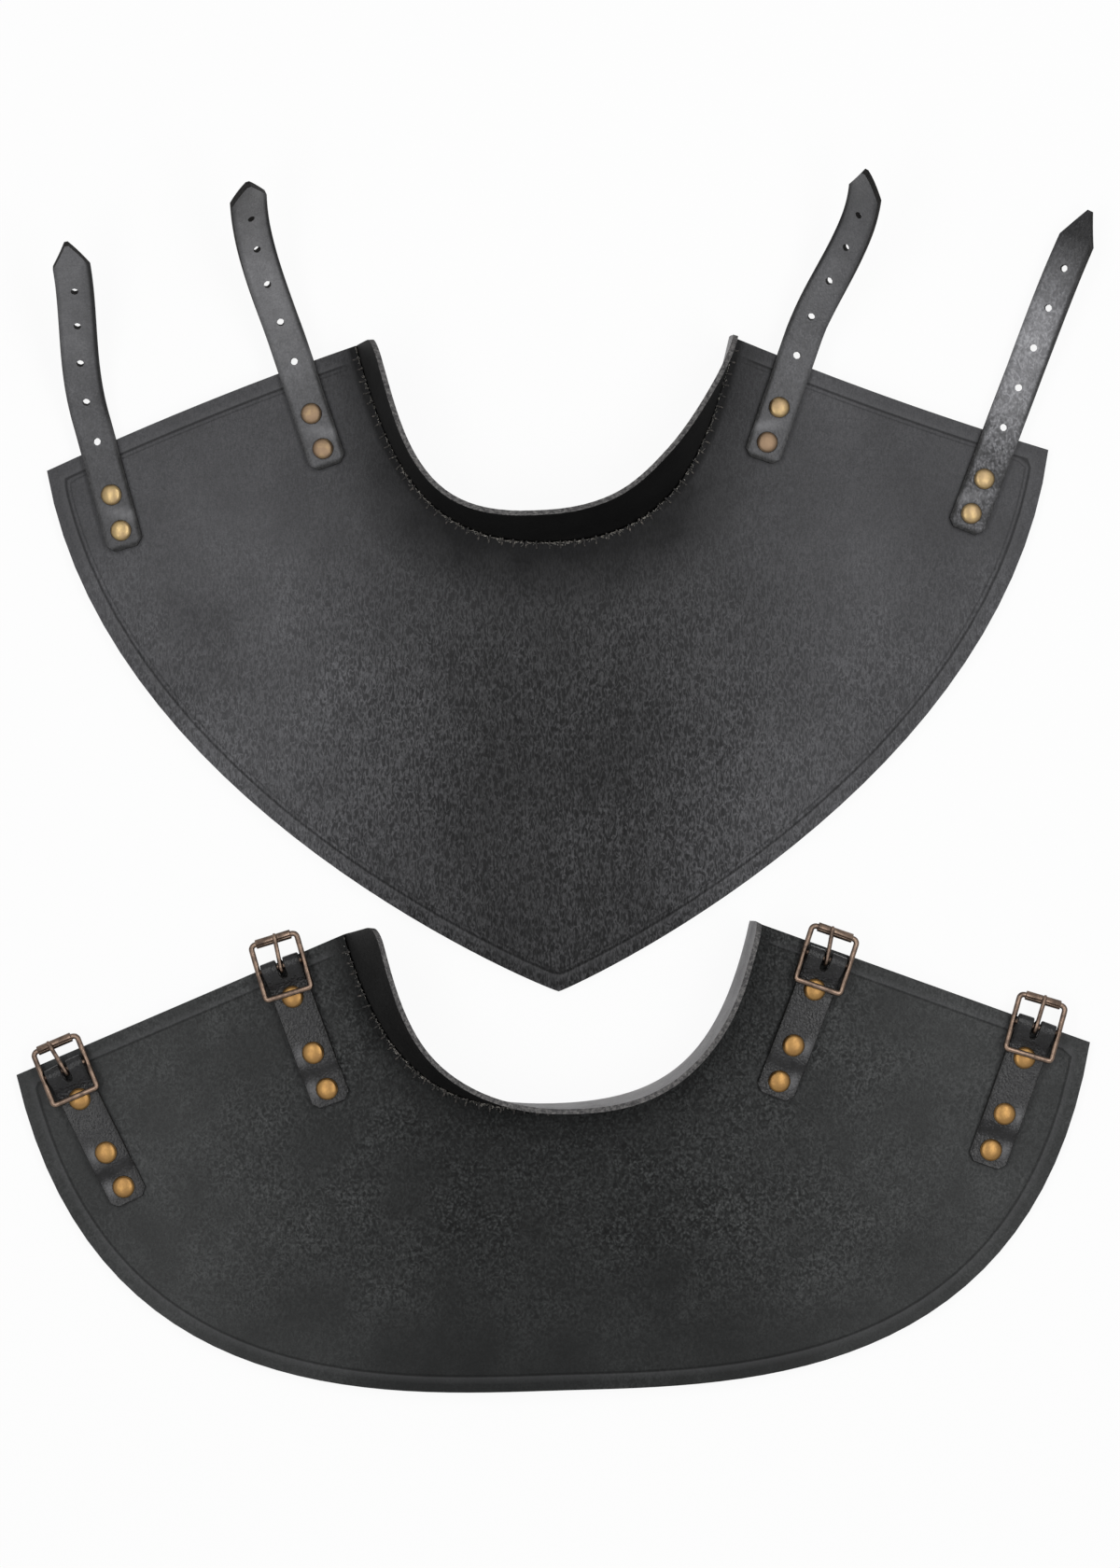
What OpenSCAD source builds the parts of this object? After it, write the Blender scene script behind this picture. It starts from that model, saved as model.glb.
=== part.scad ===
// Leather gorget: a front plate and a back plate with stitched standing collars, laid out on a table.
// The front carries four riveted straps, and the back four roller buckles on folded leather chapes.
// X runs across the shoulders, Y from the back half up to the front half, and Z up from the table.
// The origin lies on the table under the middle of the whole layout.
// Each plate is cut from a shallow cone, highest at the neck, whose rim rests on the table.

/* [Leather] */
// Thickness of the plates
plate_t = 3.5; // [3:0.1:4.5]
// Thickness of the standing collars
collar_t = 2.2; // [1.8:0.1:4]
// Thickness of the straps
strap_t = 2.8; // [2:0.1:3.2]
// Thickness of the folded buckle chapes
chape_t = 2; // [1.6:0.1:2.2]
// Slope of both plates, from the neck down to the rim, in degrees
slope = 4.5; // [3.8:0.1:7]

/* [Front plate] */
// Half width at the wing corners
front_wing = 214.5; // [200:0.5:230]
// Drop from the wing corners to the point
front_drop = 227.5; // [215:0.5:245]
// Half width of the neck at its corners
front_neck_w = 81; // [72:0.5:90]
// Height of the neck corners over the wing corners
front_neck_rise = 50.5; // [45:0.5:56]
// Drop from the wing corners to the bottom of the neck
front_neck_drop = 35.5; // [28:0.5:44]
// Outward bow of the left shoulder edge
front_bow_left = 1.8; // [-3:0.1:3]
// Outward bow of the right shoulder edge
front_bow_right = -1.8; // [-3:0.1:3]

/* [Back plate] */
// Half width at the wing corners
back_wing = 230; // [218:0.5:240]
// Drop from the wing corners to the bottom edge
back_drop = 142; // [130:0.5:155]
// Half width of the neck at its corners
back_neck_w = 88; // [80:0.5:94]
// Height of the neck corners over the wing corners
back_neck_rise = 56; // [50:0.5:62]
// Drop from the wing corners to the bottom of the neck
back_neck_drop = 21.2; // [14:0.2:30]

/* [Collars] */
// Height of both collars over the underside of the plates
collar_h = 39; // [30:0.5:48]
// Radius of the collars' upper corners
collar_corner = 9; // [4:0.5:12]
// Distance between stitches along the seams
stitch_pitch = 5; // [3.5:0.1:8]
// Thickness of the sewing thread
thread_d = 0.9; // [0.6:0.1:1.2]
// Distance from the seam to the stitch holes
stitch_reach = 2.4; // [1.8:0.1:3]

/* [Straps] */
// Width of the straps
strap_w = 16; // [13:0.5:18]
// Distance between the two rivets of a strap
strap_rivet_pitch = 15.8; // [14:0.1:20]
// Leather beyond the lower rivet
strap_root_end = 8; // [6.5:0.1:12]
// Distance from the upper rivet to the nearest punched hole
first_hole = 23.6; // [22:0.1:30]
// Distance between the punched holes
hole_pitch = 18.2; // [14:0.1:22]
// Diameter of the punched holes
hole_d = 3.2; // [2.6:0.1:4]
// Distance from the last hole to the pointed tip
tip_reach = 27; // [20:0.5:32]
// Length of the pointed part of the tip
point_l = 14; // [10:0.5:17]

/* [Rivets] */
// Diameter of the strap rivets' caps
strap_cap_d = 9; // [7.5:0.1:10]
// Diameter of the chape rivets' caps
chape_cap_d = 9.6; // [8:0.1:10.4]
// Height of the domed caps
cap_h = 1.8; // [1.2:0.1:2.2]
// Diameter of the rivet posts
post_d = 3; // [2.4:0.1:3.4]
// Diameter of the caps under the plates
back_cap_d = 8; // [7:0.1:9]
// Height of the caps under the plates
back_cap_h = 1.1; // [0.8:0.1:1.2]

/* [Buckles] */
// Clear width between the side rails
buckle_w = 18; // [17:0.1:20]
// Distance from the centre bar to the roller's axis
roller_reach = 12.1; // [11:0.1:14]
// Distance from the centre bar to the heel bar
heel_reach = 12.5; // [11.5:0.1:14]
// Diameter of the frame wire
wire_d = 2.4; // [2:0.1:2.6]
// Diameter of the centre bar
bar_d = 2.2; // [1.8:0.1:2.4]
// Height of the centre bar's axis over the plate
bar_z = 5; // [5:0.1:5.6]
// Outer diameter of the rolled sheet sleeve
roller_d = 4; // [3.7:0.1:4.4]
// Length of the rolled sheet sleeve
roller_l = 15.6; // [13:0.1:16]
// Width of the slit along the sleeve
roller_slit = 0.5; // [0.3:0.1:0.8]
// Diameter of the prong's wire
prong_d = 1.9; // [1.5:0.1:2.1]
// How far the prong's tip reaches beyond the roller's axis
prong_over = 2.2; // [1.6:0.1:3]

/* [Chapes] */
// Width of the chapes
chape_w = 17; // [14:0.5:17.2]
// Width of the prong's slot
slot_w = 3.4; // [3:0.1:4]
// Distance from the centre bar back to the slot's end
slot_back = 5.6; // [4.5:0.1:6.5]
// Distance from the centre bar to the first rivet
chape_rivet_1 = 14; // [13.5:0.1:15]
// Distance from the first rivet to the second
chape_pitch_1 = 25.5; // [20:0.5:30]
// Distance from the second rivet to the third
chape_pitch_2 = 16.5; // [15:0.5:20]
// Leather beyond the third rivet
chape_end = 7; // [6:0.5:10]

/* [Hidden] */
$fn = 48;

// Colours
front_leather = [0.19, 0.19, 0.20];
back_leather = [0.16, 0.17, 0.17];
strap_leather = [0.24, 0.24, 0.25];
thread_grey = [0.45, 0.44, 0.43];
old_brass = [0.62, 0.44, 0.24];
dark_brass = [0.42, 0.34, 0.28];

// Clearances: leather lying on leather, a bar turning in an eye or sleeve, a post in its hole,
// leather beside a moving part, two layers of one folded piece, the heel bar on its rivet, and the
// prong on the roller
seat_gap = 0.15;
run_gap = 0.08;
post_gap = 0.1;
free_gap = 0.3;
fold_gap = 0.1;
rest_gap = 0.08;
prong_gap = 0.1;

// Where each half lies on the table, and how far it is turned
front_at = [-3.03, 138.66];
front_turn = 1.2;
back_at = [-0.63, -117.54];
back_turn = 1.75;

// Height of the cone's axis over the line between the wing corners. The front's rim touches the table
// at both wing corners and at the point, and the back's along both ends.
front_axis = (front_wing^2 - front_drop^2) / (2 * front_drop);
back_axis = 47;

// Handles of the outline curves, as shares of the width and the drop they span
front_edge_handles = [[0.898, 0.632], [0.04, 0.989]];
back_edge_handles = [[0.873, 1.043], [0.318, 1]];
front_neck_handles = [0.164, 0.617, 0.652];
back_neck_handles = [0.17, 0.766, 0.562];
corner_cut = 4;
curve_steps = 18;
neck_steps = 24;

// Inward lean of each collar's rim at five places from its left end to its right end
front_lean = [7.4, 5.6, 11, 11, -2];
back_lean = [14.3, 8, -1.5, -3, -3];
collar_stations = 36;
seam_gap = 0.15;

// Straps from left to right: the upper rivet's distance in from the wing or out from the neck corner and
// its distance below that corner, its place on the front plate, the lean of the root, the change of lean
// towards the tip (first and second order), the upward curl at the hinge and at the tip, and the roll at
// the tip, with the right side lifted
strap_in = [27.8, 19.3, 18.2, 28.1];
strap_down = [11, 28.8, 30.3, 12];
strap_at = [
    [-front_wing + strap_in[0], -strap_down[0]],
    [-front_neck_w - strap_in[1], front_neck_rise - strap_down[1]],
    [front_neck_w + strap_in[2], front_neck_rise - strap_down[2]],
    [front_wing - strap_in[3], -strap_down[3]],
];
strap_lean = [14, 17.3, -20.2, -22];
strap_sway = [[-58, 52.5], [7.5, -47], [-53.5, 90], [5, -10]];
strap_curl = [[20, 51.6], [15.5, 73.3], [20, 58.6], [5, 5]];
strap_roll = [-2, -40, 52, 30];
tail_rings = 16;

// Buckles from left to right: the centre bar's distance in from the wing or out from the neck corner and
// its height over that corner, its place on the back plate, the lean of the chape, how the frame and the
// prong are turned from it, and how far the heel lifts before a rail meets the plate
bar_in = [21.5, 26.6, 29.6, 23.7];
bar_up = [1.9, -12.5, -16.6, 7.5];
bar_at = [
    [-back_wing + bar_in[0], bar_up[0]],
    [-back_neck_w - bar_in[1], back_neck_rise + bar_up[1]],
    [back_neck_w + bar_in[2], back_neck_rise + bar_up[2]],
    [back_wing - bar_in[3], bar_up[3]],
];
chape_lean = [24.5, 18.5, -22.6, -21.4];
frame_skew = [-3, -3, 1.7, 3];
prong_skew = [9, -5, 8, -1];

// The straps
hinge_y = first_hole + hole_pitch / 2;
tail_l = 3.5 * hole_pitch + tip_reach;
root_corner = 3;
tip_w = 1.6;

// The folded chapes
fold_in = bar_d / 2 + 0.5;
fold_out = fold_in + chape_t;
stack_top = seat_gap + 2 * chape_t + fold_gap;
fold_back = chape_rivet_1 - chape_cap_d / 2 - free_gap;
fold_front = 8;
fold_steps = 20;
rivet_2 = chape_rivet_1 + chape_pitch_1;
rivet_3 = rivet_2 + chape_pitch_2;
chape_mid = (rivet_3 + chape_end) / 2;
under_end = rivet_2 + chape_cap_d / 2 + 0.7;
step_l = 5;
step_count = 6;
chape_corner = 3;

// The buckles
rail_x = buckle_w / 2 + wire_d / 2;
roller_bend = 2;
heel_bend = wire_d / 2 + 0.1;
frame_tilt = asin((stack_top + cap_h + wire_d / 2 + rest_gap - bar_z) / heel_reach);
eye_r = bar_d / 2 + run_gap + prong_d / 2;
prong_top = roller_d / 2 + prong_d / 2 + prong_gap;
eye_turn = 270;
slit_turn = 35;

// Both halves: place, turn, slope axis and rim radius
FRONT = 0;
BACK = 1;
half_at = [front_at, back_at];
half_turn = [front_turn, back_turn];
half_axis = [front_axis, back_axis];
half_lean = [front_lean, back_lean];
half_outline = [plate_outline(FRONT), plate_outline(BACK)];
half_rim = [for (h = [FRONT, BACK]) max([for (p = half_outline[h]) norm(p - [0, half_axis[h]])])];
half_neck = [neck_curve(FRONT), neck_curve(BACK)];
half_run = [for (h = [FRONT, BACK]) run_lengths(half_neck[h])];
neck_l = [for (h = [FRONT, BACK]) half_run[h][len(half_run[h]) - 1]];

function cubic(a, b, c, d, t) =
    a * (1 - t)^3 + 3 * b * t * (1 - t)^2 + 3 * c * t^2 * (1 - t) + d * t^3;

function mirrored(points) = [for (k = [len(points) - 1:-1:0]) [-points[k].x, points[k].y]];

// The right half of the neck, from the bottom up to the corner
function half_neck_curve(h) =
    let (w = h == FRONT ? front_neck_w : back_neck_w,
         rise = h == FRONT ? front_neck_rise : back_neck_rise,
         low = h == FRONT ? -front_neck_drop : -back_neck_drop,
         grip = h == FRONT ? front_neck_handles : back_neck_handles)
    [for (k = [0:neck_steps]) cubic(
        [0, low],
        [w * grip[2], low],
        [w * (1 - grip[0]), rise - (rise - low) * grip[1]],
        [w, rise],
        k / neck_steps)];

// The whole neck, from the left corner to the right corner
function neck_curve(h) =
    let (right = half_neck_curve(h))
    concat(mirrored(right), [for (k = [1:neck_steps]) right[k]]);

// The right half of the outer edge, from the wing corner to the bottom middle
function half_edge(h) =
    let (w = h == FRONT ? front_wing : back_wing,
         drop = h == FRONT ? front_drop : back_drop,
         grip = h == FRONT ? front_edge_handles : back_edge_handles)
    [for (k = [0:curve_steps]) cubic(
        [w, -corner_cut],
        [w * grip[0].x, -drop * grip[0].y],
        [w * grip[1].x, -drop * grip[1].y],
        [0, -drop],
        k / curve_steps)];

// A shoulder edge from the neck corner to just before the wing corner, bowed outward
function shoulder(a, b, bow) =
    let (along = (b - a) / norm(b - a), out = [along.y, -along.x] * (a.x < 0 ? -1 : 1),
         mid = (a + b) / 2 + 2 * bow * -out)
    [for (k = [1:5]) let (t = k / 5 * (1 - corner_cut / norm(b - a)))
        a * (1 - t)^2 + 2 * mid * t * (1 - t) + b * t^2];

// The whole outline, counter-clockwise from the left neck corner
function plate_outline(h) =
    let (neck = neck_curve(h),
         edge = half_edge(h),
         wing = [h == FRONT ? front_wing : back_wing, 0],
         left = neck[0],
         right = neck[len(neck) - 1],
         bow_left = h == FRONT ? front_bow_left : 0,
         bow_right = h == FRONT ? front_bow_right : 0,
         left_edge = [for (p = mirrored(edge)) p])
    concat(
        [for (k = [len(neck) - 1:-1:0]) neck[k]],
        shoulder(left, [-wing.x, 0], bow_left),
        [for (k = [len(left_edge) - 1:-1:0]) left_edge[k]],
        [for (k = [len(edge) - 2:-1:0]) edge[k]],
        [for (p = mirrored(shoulder(left, [-wing.x, 0], bow_right))) p]);

function run_lengths(points) =
    [for (k = 0, s = 0; k < len(points);
        s = s + (k + 1 < len(points) ? norm(points[k + 1] - points[k]) : 0), k = k + 1) s];

// A point on the neck curve at a run of s millimetres from the left corner
function neck_at(h, s) =
    [for (axis = [0, 1]) lookup(s, [for (k = [0:len(half_neck[h]) - 1]) [half_run[h][k], half_neck[h][k][axis]]])];

// The direction that points from the neck edge into the neck opening
function neck_inward(h, s) =
    let (d = neck_at(h, min(s + 1, neck_l[h])) - neck_at(h, max(s - 1, 0)))
    [-d.y, d.x] / norm(d);

// A smooth curve through equally spaced values, at a share u from 0 to 1
function smooth(values, u) =
    let (n = len(values) - 1, k = min(floor(u * n), n - 1), t = u * n - k,
         a = values[max(k - 1, 0)], b = values[k], c = values[k + 1], d = values[min(k + 2, n)])
    b + 0.5 * t * (c - a + t * (2 * a - 5 * b + 4 * c - d + t * (3 * (b - c) + d - a)));

// Height of a plate's underside and top at a point of its own frame
function under_z(h, p) = (half_rim[h] - norm(p - [0, half_axis[h]])) * tan(slope);
function top_z(h, p) = under_z(h, p) + plate_t / cos(slope);

// Frames as matrices: a move, and turns about each axis
function move_m(v) = [[1, 0, 0, v.x], [0, 1, 0, v.y], [0, 0, 1, v.z], [0, 0, 0, 1]];
function turn_x(a) = [[1, 0, 0, 0], [0, cos(a), -sin(a), 0], [0, sin(a), cos(a), 0], [0, 0, 0, 1]];
function turn_y(a) = [[cos(a), 0, sin(a), 0], [0, 1, 0, 0], [-sin(a), 0, cos(a), 0], [0, 0, 0, 1]];
function turn_z(a) = [[cos(a), -sin(a), 0, 0], [sin(a), cos(a), 0, 0], [0, 0, 1, 0], [0, 0, 0, 1]];

// A half's own frame on the table
function half_m(h) = move_m([half_at[h].x, half_at[h].y, 0]) * turn_z(half_turn[h]);

// A frame lying on a plate's top at p, with +Y leaning from the plate's own +Y, in the plate's frame
function seat(h, p, lean) =
    let (from_axis = p - [0, half_axis[h]], bearing = atan2(from_axis.y, from_axis.x))
    move_m([p.x, p.y, top_z(h, p)]) * turn_z(bearing) * turn_y(slope) * turn_z(lean - bearing);

// A strap's seat, from its upper rivet, and a chape's, from its middle so that both ends lie close
function strap_seat(i) = seat(FRONT, strap_at[i - 1], strap_lean[i - 1]);
function chape_seat(i) =
    let (a = chape_lean[i - 1])
    seat(BACK, bar_at[i - 1] + chape_mid * [sin(a), -cos(a)], a) * move_m([0, chape_mid, 0]);

function strap_m(i) = half_m(FRONT) * strap_seat(i);
function hinge_m(i) = strap_m(i) * move_m([0, hinge_y, seat_gap + strap_t / 2]);
function chape_m(i) = half_m(BACK) * chape_seat(i);
function frame_m(i) = chape_m(i) * move_m([0, 0, bar_z]) * turn_z(frame_skew[i - 1]) * turn_x(-frame_tilt);
function roller_m(i) = frame_m(i) * move_m([0, roller_reach, 0]);
function prong_m(i) = frame_m(i) * turn_z(prong_skew[i - 1]);

// A closed solid through rings of equal numbers of points, with triangles for its faces
module loft(rings) {
    m = len(rings[0]);
    last = (len(rings) - 1) * m;
    polyhedron(
        points = [for (ring = rings) each ring],
        faces = concat(
            [for (k = [1:m - 2]) [0, k, k + 1]],
            [for (k = [1:m - 2]) [last, last + k + 1, last + k]],
            [for (r = [0:len(rings) - 2], k = [0:m - 1]) let (a = r * m, b = (k + 1) % m)
                each [[a + k, a + m + k, a + b], [a + b, a + m + k, a + m + b]]]));
}

// A straight wire between two points
module wire(a, b, d) {
    run = b - a;
    translate(a)
        rotate([0, acos(run.z / norm(run)), atan2(run.y, run.x)])
            cylinder(h = norm(run), d = d);
}

// A rivet's own seat on a plate, y millimetres along a strap's or chape's seat
function rivet_m(h, on, y) =
    let (q = on * [0, y, 0, 1])
    half_m(h) * seat(h, [q.x, q.y], 0);

function strap_rivet_frames(i) = [for (y = [0, -strap_rivet_pitch]) rivet_m(FRONT, strap_seat(i), y)];
function chape_rivet_frames(i) =
    [for (y = [chape_rivet_1, rivet_2, rivet_3]) rivet_m(BACK, chape_seat(i), -y)];

module plate(h) {
    tall = plate_t / cos(slope);
    far = 1.1 * half_rim[h];
    near = 0.02 * half_rim[h];
    fall = tan(slope);
    highest = half_rim[h] * fall + 2 * tall;
    difference() {
        multmatrix(half_m(h)) intersection() {
            translate([0, half_axis[h], 0])
                rotate_extrude($fn = 180)
                    polygon([
                        [near, (half_rim[h] - near) * fall],
                        [far, (half_rim[h] - far) * fall],
                        [far, (half_rim[h] - far) * fall + tall],
                        [near, (half_rim[h] - near) * fall + tall],
                    ]);
            translate([0, 0, -plate_t]) linear_extrude(highest + plate_t) polygon(half_outline[h]);
        }
        for (i = [1:4], m = h == FRONT ? strap_rivet_frames(i) : chape_rivet_frames(i))
            multmatrix(m) translate([0, 0, -plate_t - 2]) cylinder(h = plate_t + 4, d = post_d + 2 * post_gap);
    }
}

module front_plate() {
    color(front_leather) plate(FRONT);
}

module back_plate() {
    color(back_leather) plate(BACK);
}

// One section of a collar at a run of s millimetres along the neck, up its outside and down its inside
function collar_ring(h, s) =
    let (p = neck_at(h, s), inward = neck_inward(h, s),
         lean = smooth(half_lean[h], s / neck_l[h]),
         from_end = min(s, neck_l[h] - s),
         cut = max(0, collar_corner - from_end),
         tall = collar_h - collar_corner + sqrt(collar_corner^2 - cut^2),
         low = under_z(h, p),
         rows = [0, 0.5, 1])
    concat(
        [for (v = rows) let (q = p + inward * (seam_gap + lean * tall / collar_h * v^1.3))
            [q.x, q.y, low + tall * v]],
        [for (k = [2:-1:0]) let (v = rows[k],
            q = p + inward * (seam_gap + collar_t + lean * tall / collar_h * v^1.3))
            [q.x, q.y, low + tall * v]]);

// Runs along the neck: close together round the upper corners, evenly spaced between them
function collar_runs(h) =
    let (bend = [for (k = [0:4]) collar_corner * (1 - cos(k * 90 / 4))], rest = neck_l[h] - 2 * collar_corner)
    concat(
        bend,
        [for (k = [1:collar_stations - 1]) collar_corner + rest * k / collar_stations],
        [for (k = [4:-1:0]) neck_l[h] - bend[k]]);

module collar(h) {
    multmatrix(half_m(h)) loft([for (s = collar_runs(h)) collar_ring(h, s)]);
}

module front_collar() {
    color(front_leather) collar(FRONT);
}

module back_collar() {
    color(back_leather) collar(BACK);
}

// One row of stitches, each running from the plate's top across the seam and up the collar's outside
module stitching(h) {
    count = floor((neck_l[h] - stitch_pitch) / stitch_pitch);
    first = (neck_l[h] - (count - 1) * stitch_pitch) / 2;
    lift = thread_d / 2 + seat_gap;
    multmatrix(half_m(h))
        for (k = [0:count - 1]) {
            s = first + k * stitch_pitch;
            p = neck_at(h, s);
            inward = neck_inward(h, s);
            lean = smooth(half_lean[h], s / neck_l[h]) * (stitch_reach / collar_h)^1.3;
            outer = p - inward * stitch_reach;
            inner = p + inward * (lean - lift);
            wire(
                [outer.x, outer.y, top_z(h, outer) + lift],
                [inner.x, inner.y, top_z(h, p) + stitch_reach + lift],
                thread_d);
        }
}

module front_stitching() {
    color(thread_grey) stitching(FRONT);
}

module back_stitching() {
    color(thread_grey) stitching(BACK);
}

// The riveted end of a strap, as far as the first bend beyond the plate
module strap_root(i) {
    low = -strap_rivet_pitch - strap_root_end;
    high = hinge_y - strap_t / 2 - free_gap;
    half = strap_w / 2;
    color(strap_leather) multmatrix(strap_m(i)) translate([0, 0, seat_gap]) difference() {
        linear_extrude(strap_t) union() {
            translate([-half, low + root_corner]) square([strap_w, high - low - root_corner]);
            translate([-half + root_corner, low]) square([strap_w - 2 * root_corner, root_corner + 1]);
            for (side = [-1, 1]) translate([side * (half - root_corner), low + root_corner]) circle(root_corner);
        }
        for (y = [0, -strap_rivet_pitch])
            translate([0, y, -1]) cylinder(h = strap_t + 2, d = post_d + 2 * post_gap);
        translate([0, first_hole, -1]) cylinder(h = strap_t + 2, d = hole_d);
    }
}

// Lean, curl and roll of a strap's tail at a run of s millimetres from its hinge
function tail_turn(i, s) =
    let (u = max(s, 0) / tail_l, sway = strap_sway[i - 1], curl = strap_curl[i - 1])
    [sway[0] * u + sway[1] * u^2, curl[0] + (curl[1] - curl[0]) * u^1.2, strap_roll[i - 1] * u];

function tail_dir(turn) = [-sin(turn[0]) * cos(turn[1]), cos(turn[0]) * cos(turn[1]), sin(turn[1])];
function tail_side(turn) =
    let (flat = [cos(turn[0]), sin(turn[0]), 0])
    flat * cos(turn[2]) + cross(flat, tail_dir(turn)) * sin(turn[2]);

// The middle of the tail at a run of s millimetres, in the hinge's frame
function tail_mid(i, s) =
    s <= 0
        ? s * tail_dir(tail_turn(i, 0))
        : let (n = ceil(s / 2), d = s / n)
          [for (k = 0, p = [0, 0, 0]; k <= n; p = p + d * tail_dir(tail_turn(i, (k + 0.5) * d)), k = k + 1) p][n];

function tail_ring(i, s, half_w, half_t) =
    let (turn = tail_turn(i, s), mid = tail_mid(i, s), side = tail_side(turn), up = cross(side, tail_dir(turn)))
    [for (q = [[-1, -1], [-1, 1], [1, 1], [1, -1]]) mid + side * half_w * q[0] + up * half_t * q[1]];

// The frame of one of the tail's punched holes, counted from the root
function tail_hole_m(i, k) =
    let (s = (k - 0.5) * hole_pitch, turn = tail_turn(i, s))
    hinge_m(i) * move_m(tail_mid(i, s)) * turn_z(turn[0]) * turn_x(turn[1]) * turn_y(-turn[2]);

// The free end of a strap: a half-round nose on the hinge, then a swept strip down to its pointed tip
module strap_tail(i) {
    half = strap_w / 2;
    thin = strap_t / 2;
    straight = tail_l - point_l;
    color(strap_leather) difference() {
        multmatrix(hinge_m(i)) loft(concat(
            [for (a = [20, 45, 70]) tail_ring(i, -thin * cos(a), half, thin * sin(a))],
            [for (k = [0:tail_rings]) tail_ring(i, straight * k / tail_rings, half, thin)],
            [for (k = [1:3]) tail_ring(i, straight + point_l * k / 3, half + (tip_w / 2 - half) * k / 3, thin)]));
        for (k = [1:4])
            multmatrix(tail_hole_m(i, k)) cylinder(h = 3 * strap_t, d = hole_d, center = true);
    }
}

// A domed cap over a round post, standing on its seat at z = 0
module capped_post(cap_d, post_l) {
    dome_r = ((cap_d / 2)^2 + cap_h^2) / (2 * cap_h);
    translate([0, 0, -post_l]) cylinder(h = post_l + cap_h / 2, d = post_d);
    intersection() {
        translate([0, 0, cap_h - dome_r]) sphere(dome_r, $fn = 96);
        cylinder(h = cap_h + 1, d = cap_d);
    }
}

module back_cap() {
    translate([0, 0, -plate_t - seat_gap / 2 - back_cap_h]) cylinder(h = back_cap_h, d = back_cap_d);
}

module strap_rivets(i) {
    color(old_brass) multmatrix(strap_m(i))
        for (y = [0, -strap_rivet_pitch])
            translate([0, y, seat_gap + strap_t]) capped_post(strap_cap_d, strap_t + seat_gap * 1.5 + plate_t);
}

module strap_rivet_backs(i) {
    color(old_brass)
        for (m = strap_rivet_frames(i)) multmatrix(m) back_cap();
}

// Height of the upper layer's underside, y millimetres behind the centre bar
function layer_z(y) =
    let (u = max(0, min(1, (y - under_end) / step_l)))
    seat_gap + (chape_t + fold_gap) * (1 + cos(180 * u)) / 2;

// Bearing, from the bar, of the place where a line from a point behind it touches the fold's outside;
// side 1 is above the bar, -1 below
function touch(point, side) =
    let (v = point - [0, bar_z])
    atan2(v.y, v.x) - side * acos(fold_out / norm(v));

function round_bar(r, bearing) = [0, bar_z] + r * [cos(bearing), sin(bearing)];

// Where the inside of the fold's leg, parallel to its outside, reaches a height z
function leg_foot(point, bearing, z) =
    let (a = round_bar(fold_in, bearing), run = point - round_bar(fold_out, bearing))
    a + run * (z - a.y) / run.y;

// Side view of a chape: two layers on the plate, folded round the bar, the lower one ending under the upper
module chape_side() {
    end = rivet_3 + chape_end;
    back = [for (k = [0:step_count]) under_end + step_l * k / step_count];
    upper = [-fold_back, stack_top];
    lower = [-fold_front, seat_gap];
    above = touch(upper, 1) + 360;
    below = touch(lower, -1);
    under_top = seat_gap + chape_t;
    bearings = [for (k = [0:fold_steps]) above + (below - above) * k / fold_steps];
    polygon(concat(
        [for (a = bearings) round_bar(fold_out, a)],
        [lower, [-under_end, seat_gap], [-under_end, under_top], leg_foot(lower, below, under_top)],
        [for (k = [fold_steps:-1:0]) round_bar(fold_in, bearings[k])],
        [leg_foot(upper, above, stack_top - chape_t)],
        [for (y = back) [-y, layer_z(y)]],
        [[-end, seat_gap], [-end, under_top]],
        [for (k = [step_count:-1:0]) [-back[k], layer_z(back[k]) + chape_t]],
        [upper]));
}

module chape(i) {
    end = rivet_3 + chape_end;
    half = chape_w / 2;
    color(strap_leather) multmatrix(chape_m(i)) difference() {
        intersection() {
            translate([-half, 0, 0]) rotate([90, 0, 90]) linear_extrude(chape_w) chape_side();
            translate([0, 0, -1]) linear_extrude(20) polygon([
                [-half - 1, 10],
                [-half - 1, -end + chape_corner + 1],
                [-half + chape_corner, -end],
                [half - chape_corner, -end],
                [half + 1, -end + chape_corner + 1],
                [half + 1, 10],
            ]);
        }
        for (y = [chape_rivet_1, rivet_2, rivet_3])
            translate([0, -y, -1]) cylinder(h = 12, d = post_d + 2 * post_gap);
        translate([0, -slot_back + slot_w / 2, -1]) cylinder(h = 20, d = slot_w);
        translate([-slot_w / 2, -slot_back + slot_w / 2, -1]) cube([slot_w, slot_back + 10, 20]);
    }
}

module chape_rivets(i) {
    color(old_brass) multmatrix(chape_m(i)) {
        for (y = [chape_rivet_1, rivet_2])
            translate([0, -y, stack_top]) capped_post(chape_cap_d, stack_top + plate_t + seat_gap / 2);
        translate([0, -rivet_3, seat_gap + chape_t])
            capped_post(chape_cap_d, chape_t + seat_gap * 1.5 + plate_t);
    }
}

module chape_rivet_backs(i) {
    color(old_brass)
        for (m = chape_rivet_frames(i)) multmatrix(m) back_cap();
}

// A quarter bend of the frame wire, from +Y round to +X, about the origin
module bend(r) {
    rotate_extrude(angle = 90) translate([r, 0]) circle(d = wire_d);
}

module side_rails(d) {
    low = -heel_reach + heel_bend;
    for (side = [-1, 1])
        translate([side * rail_x, low, 0])
            rotate([-90, 0, 0]) cylinder(h = roller_reach - roller_bend - low, d = d);
}

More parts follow.
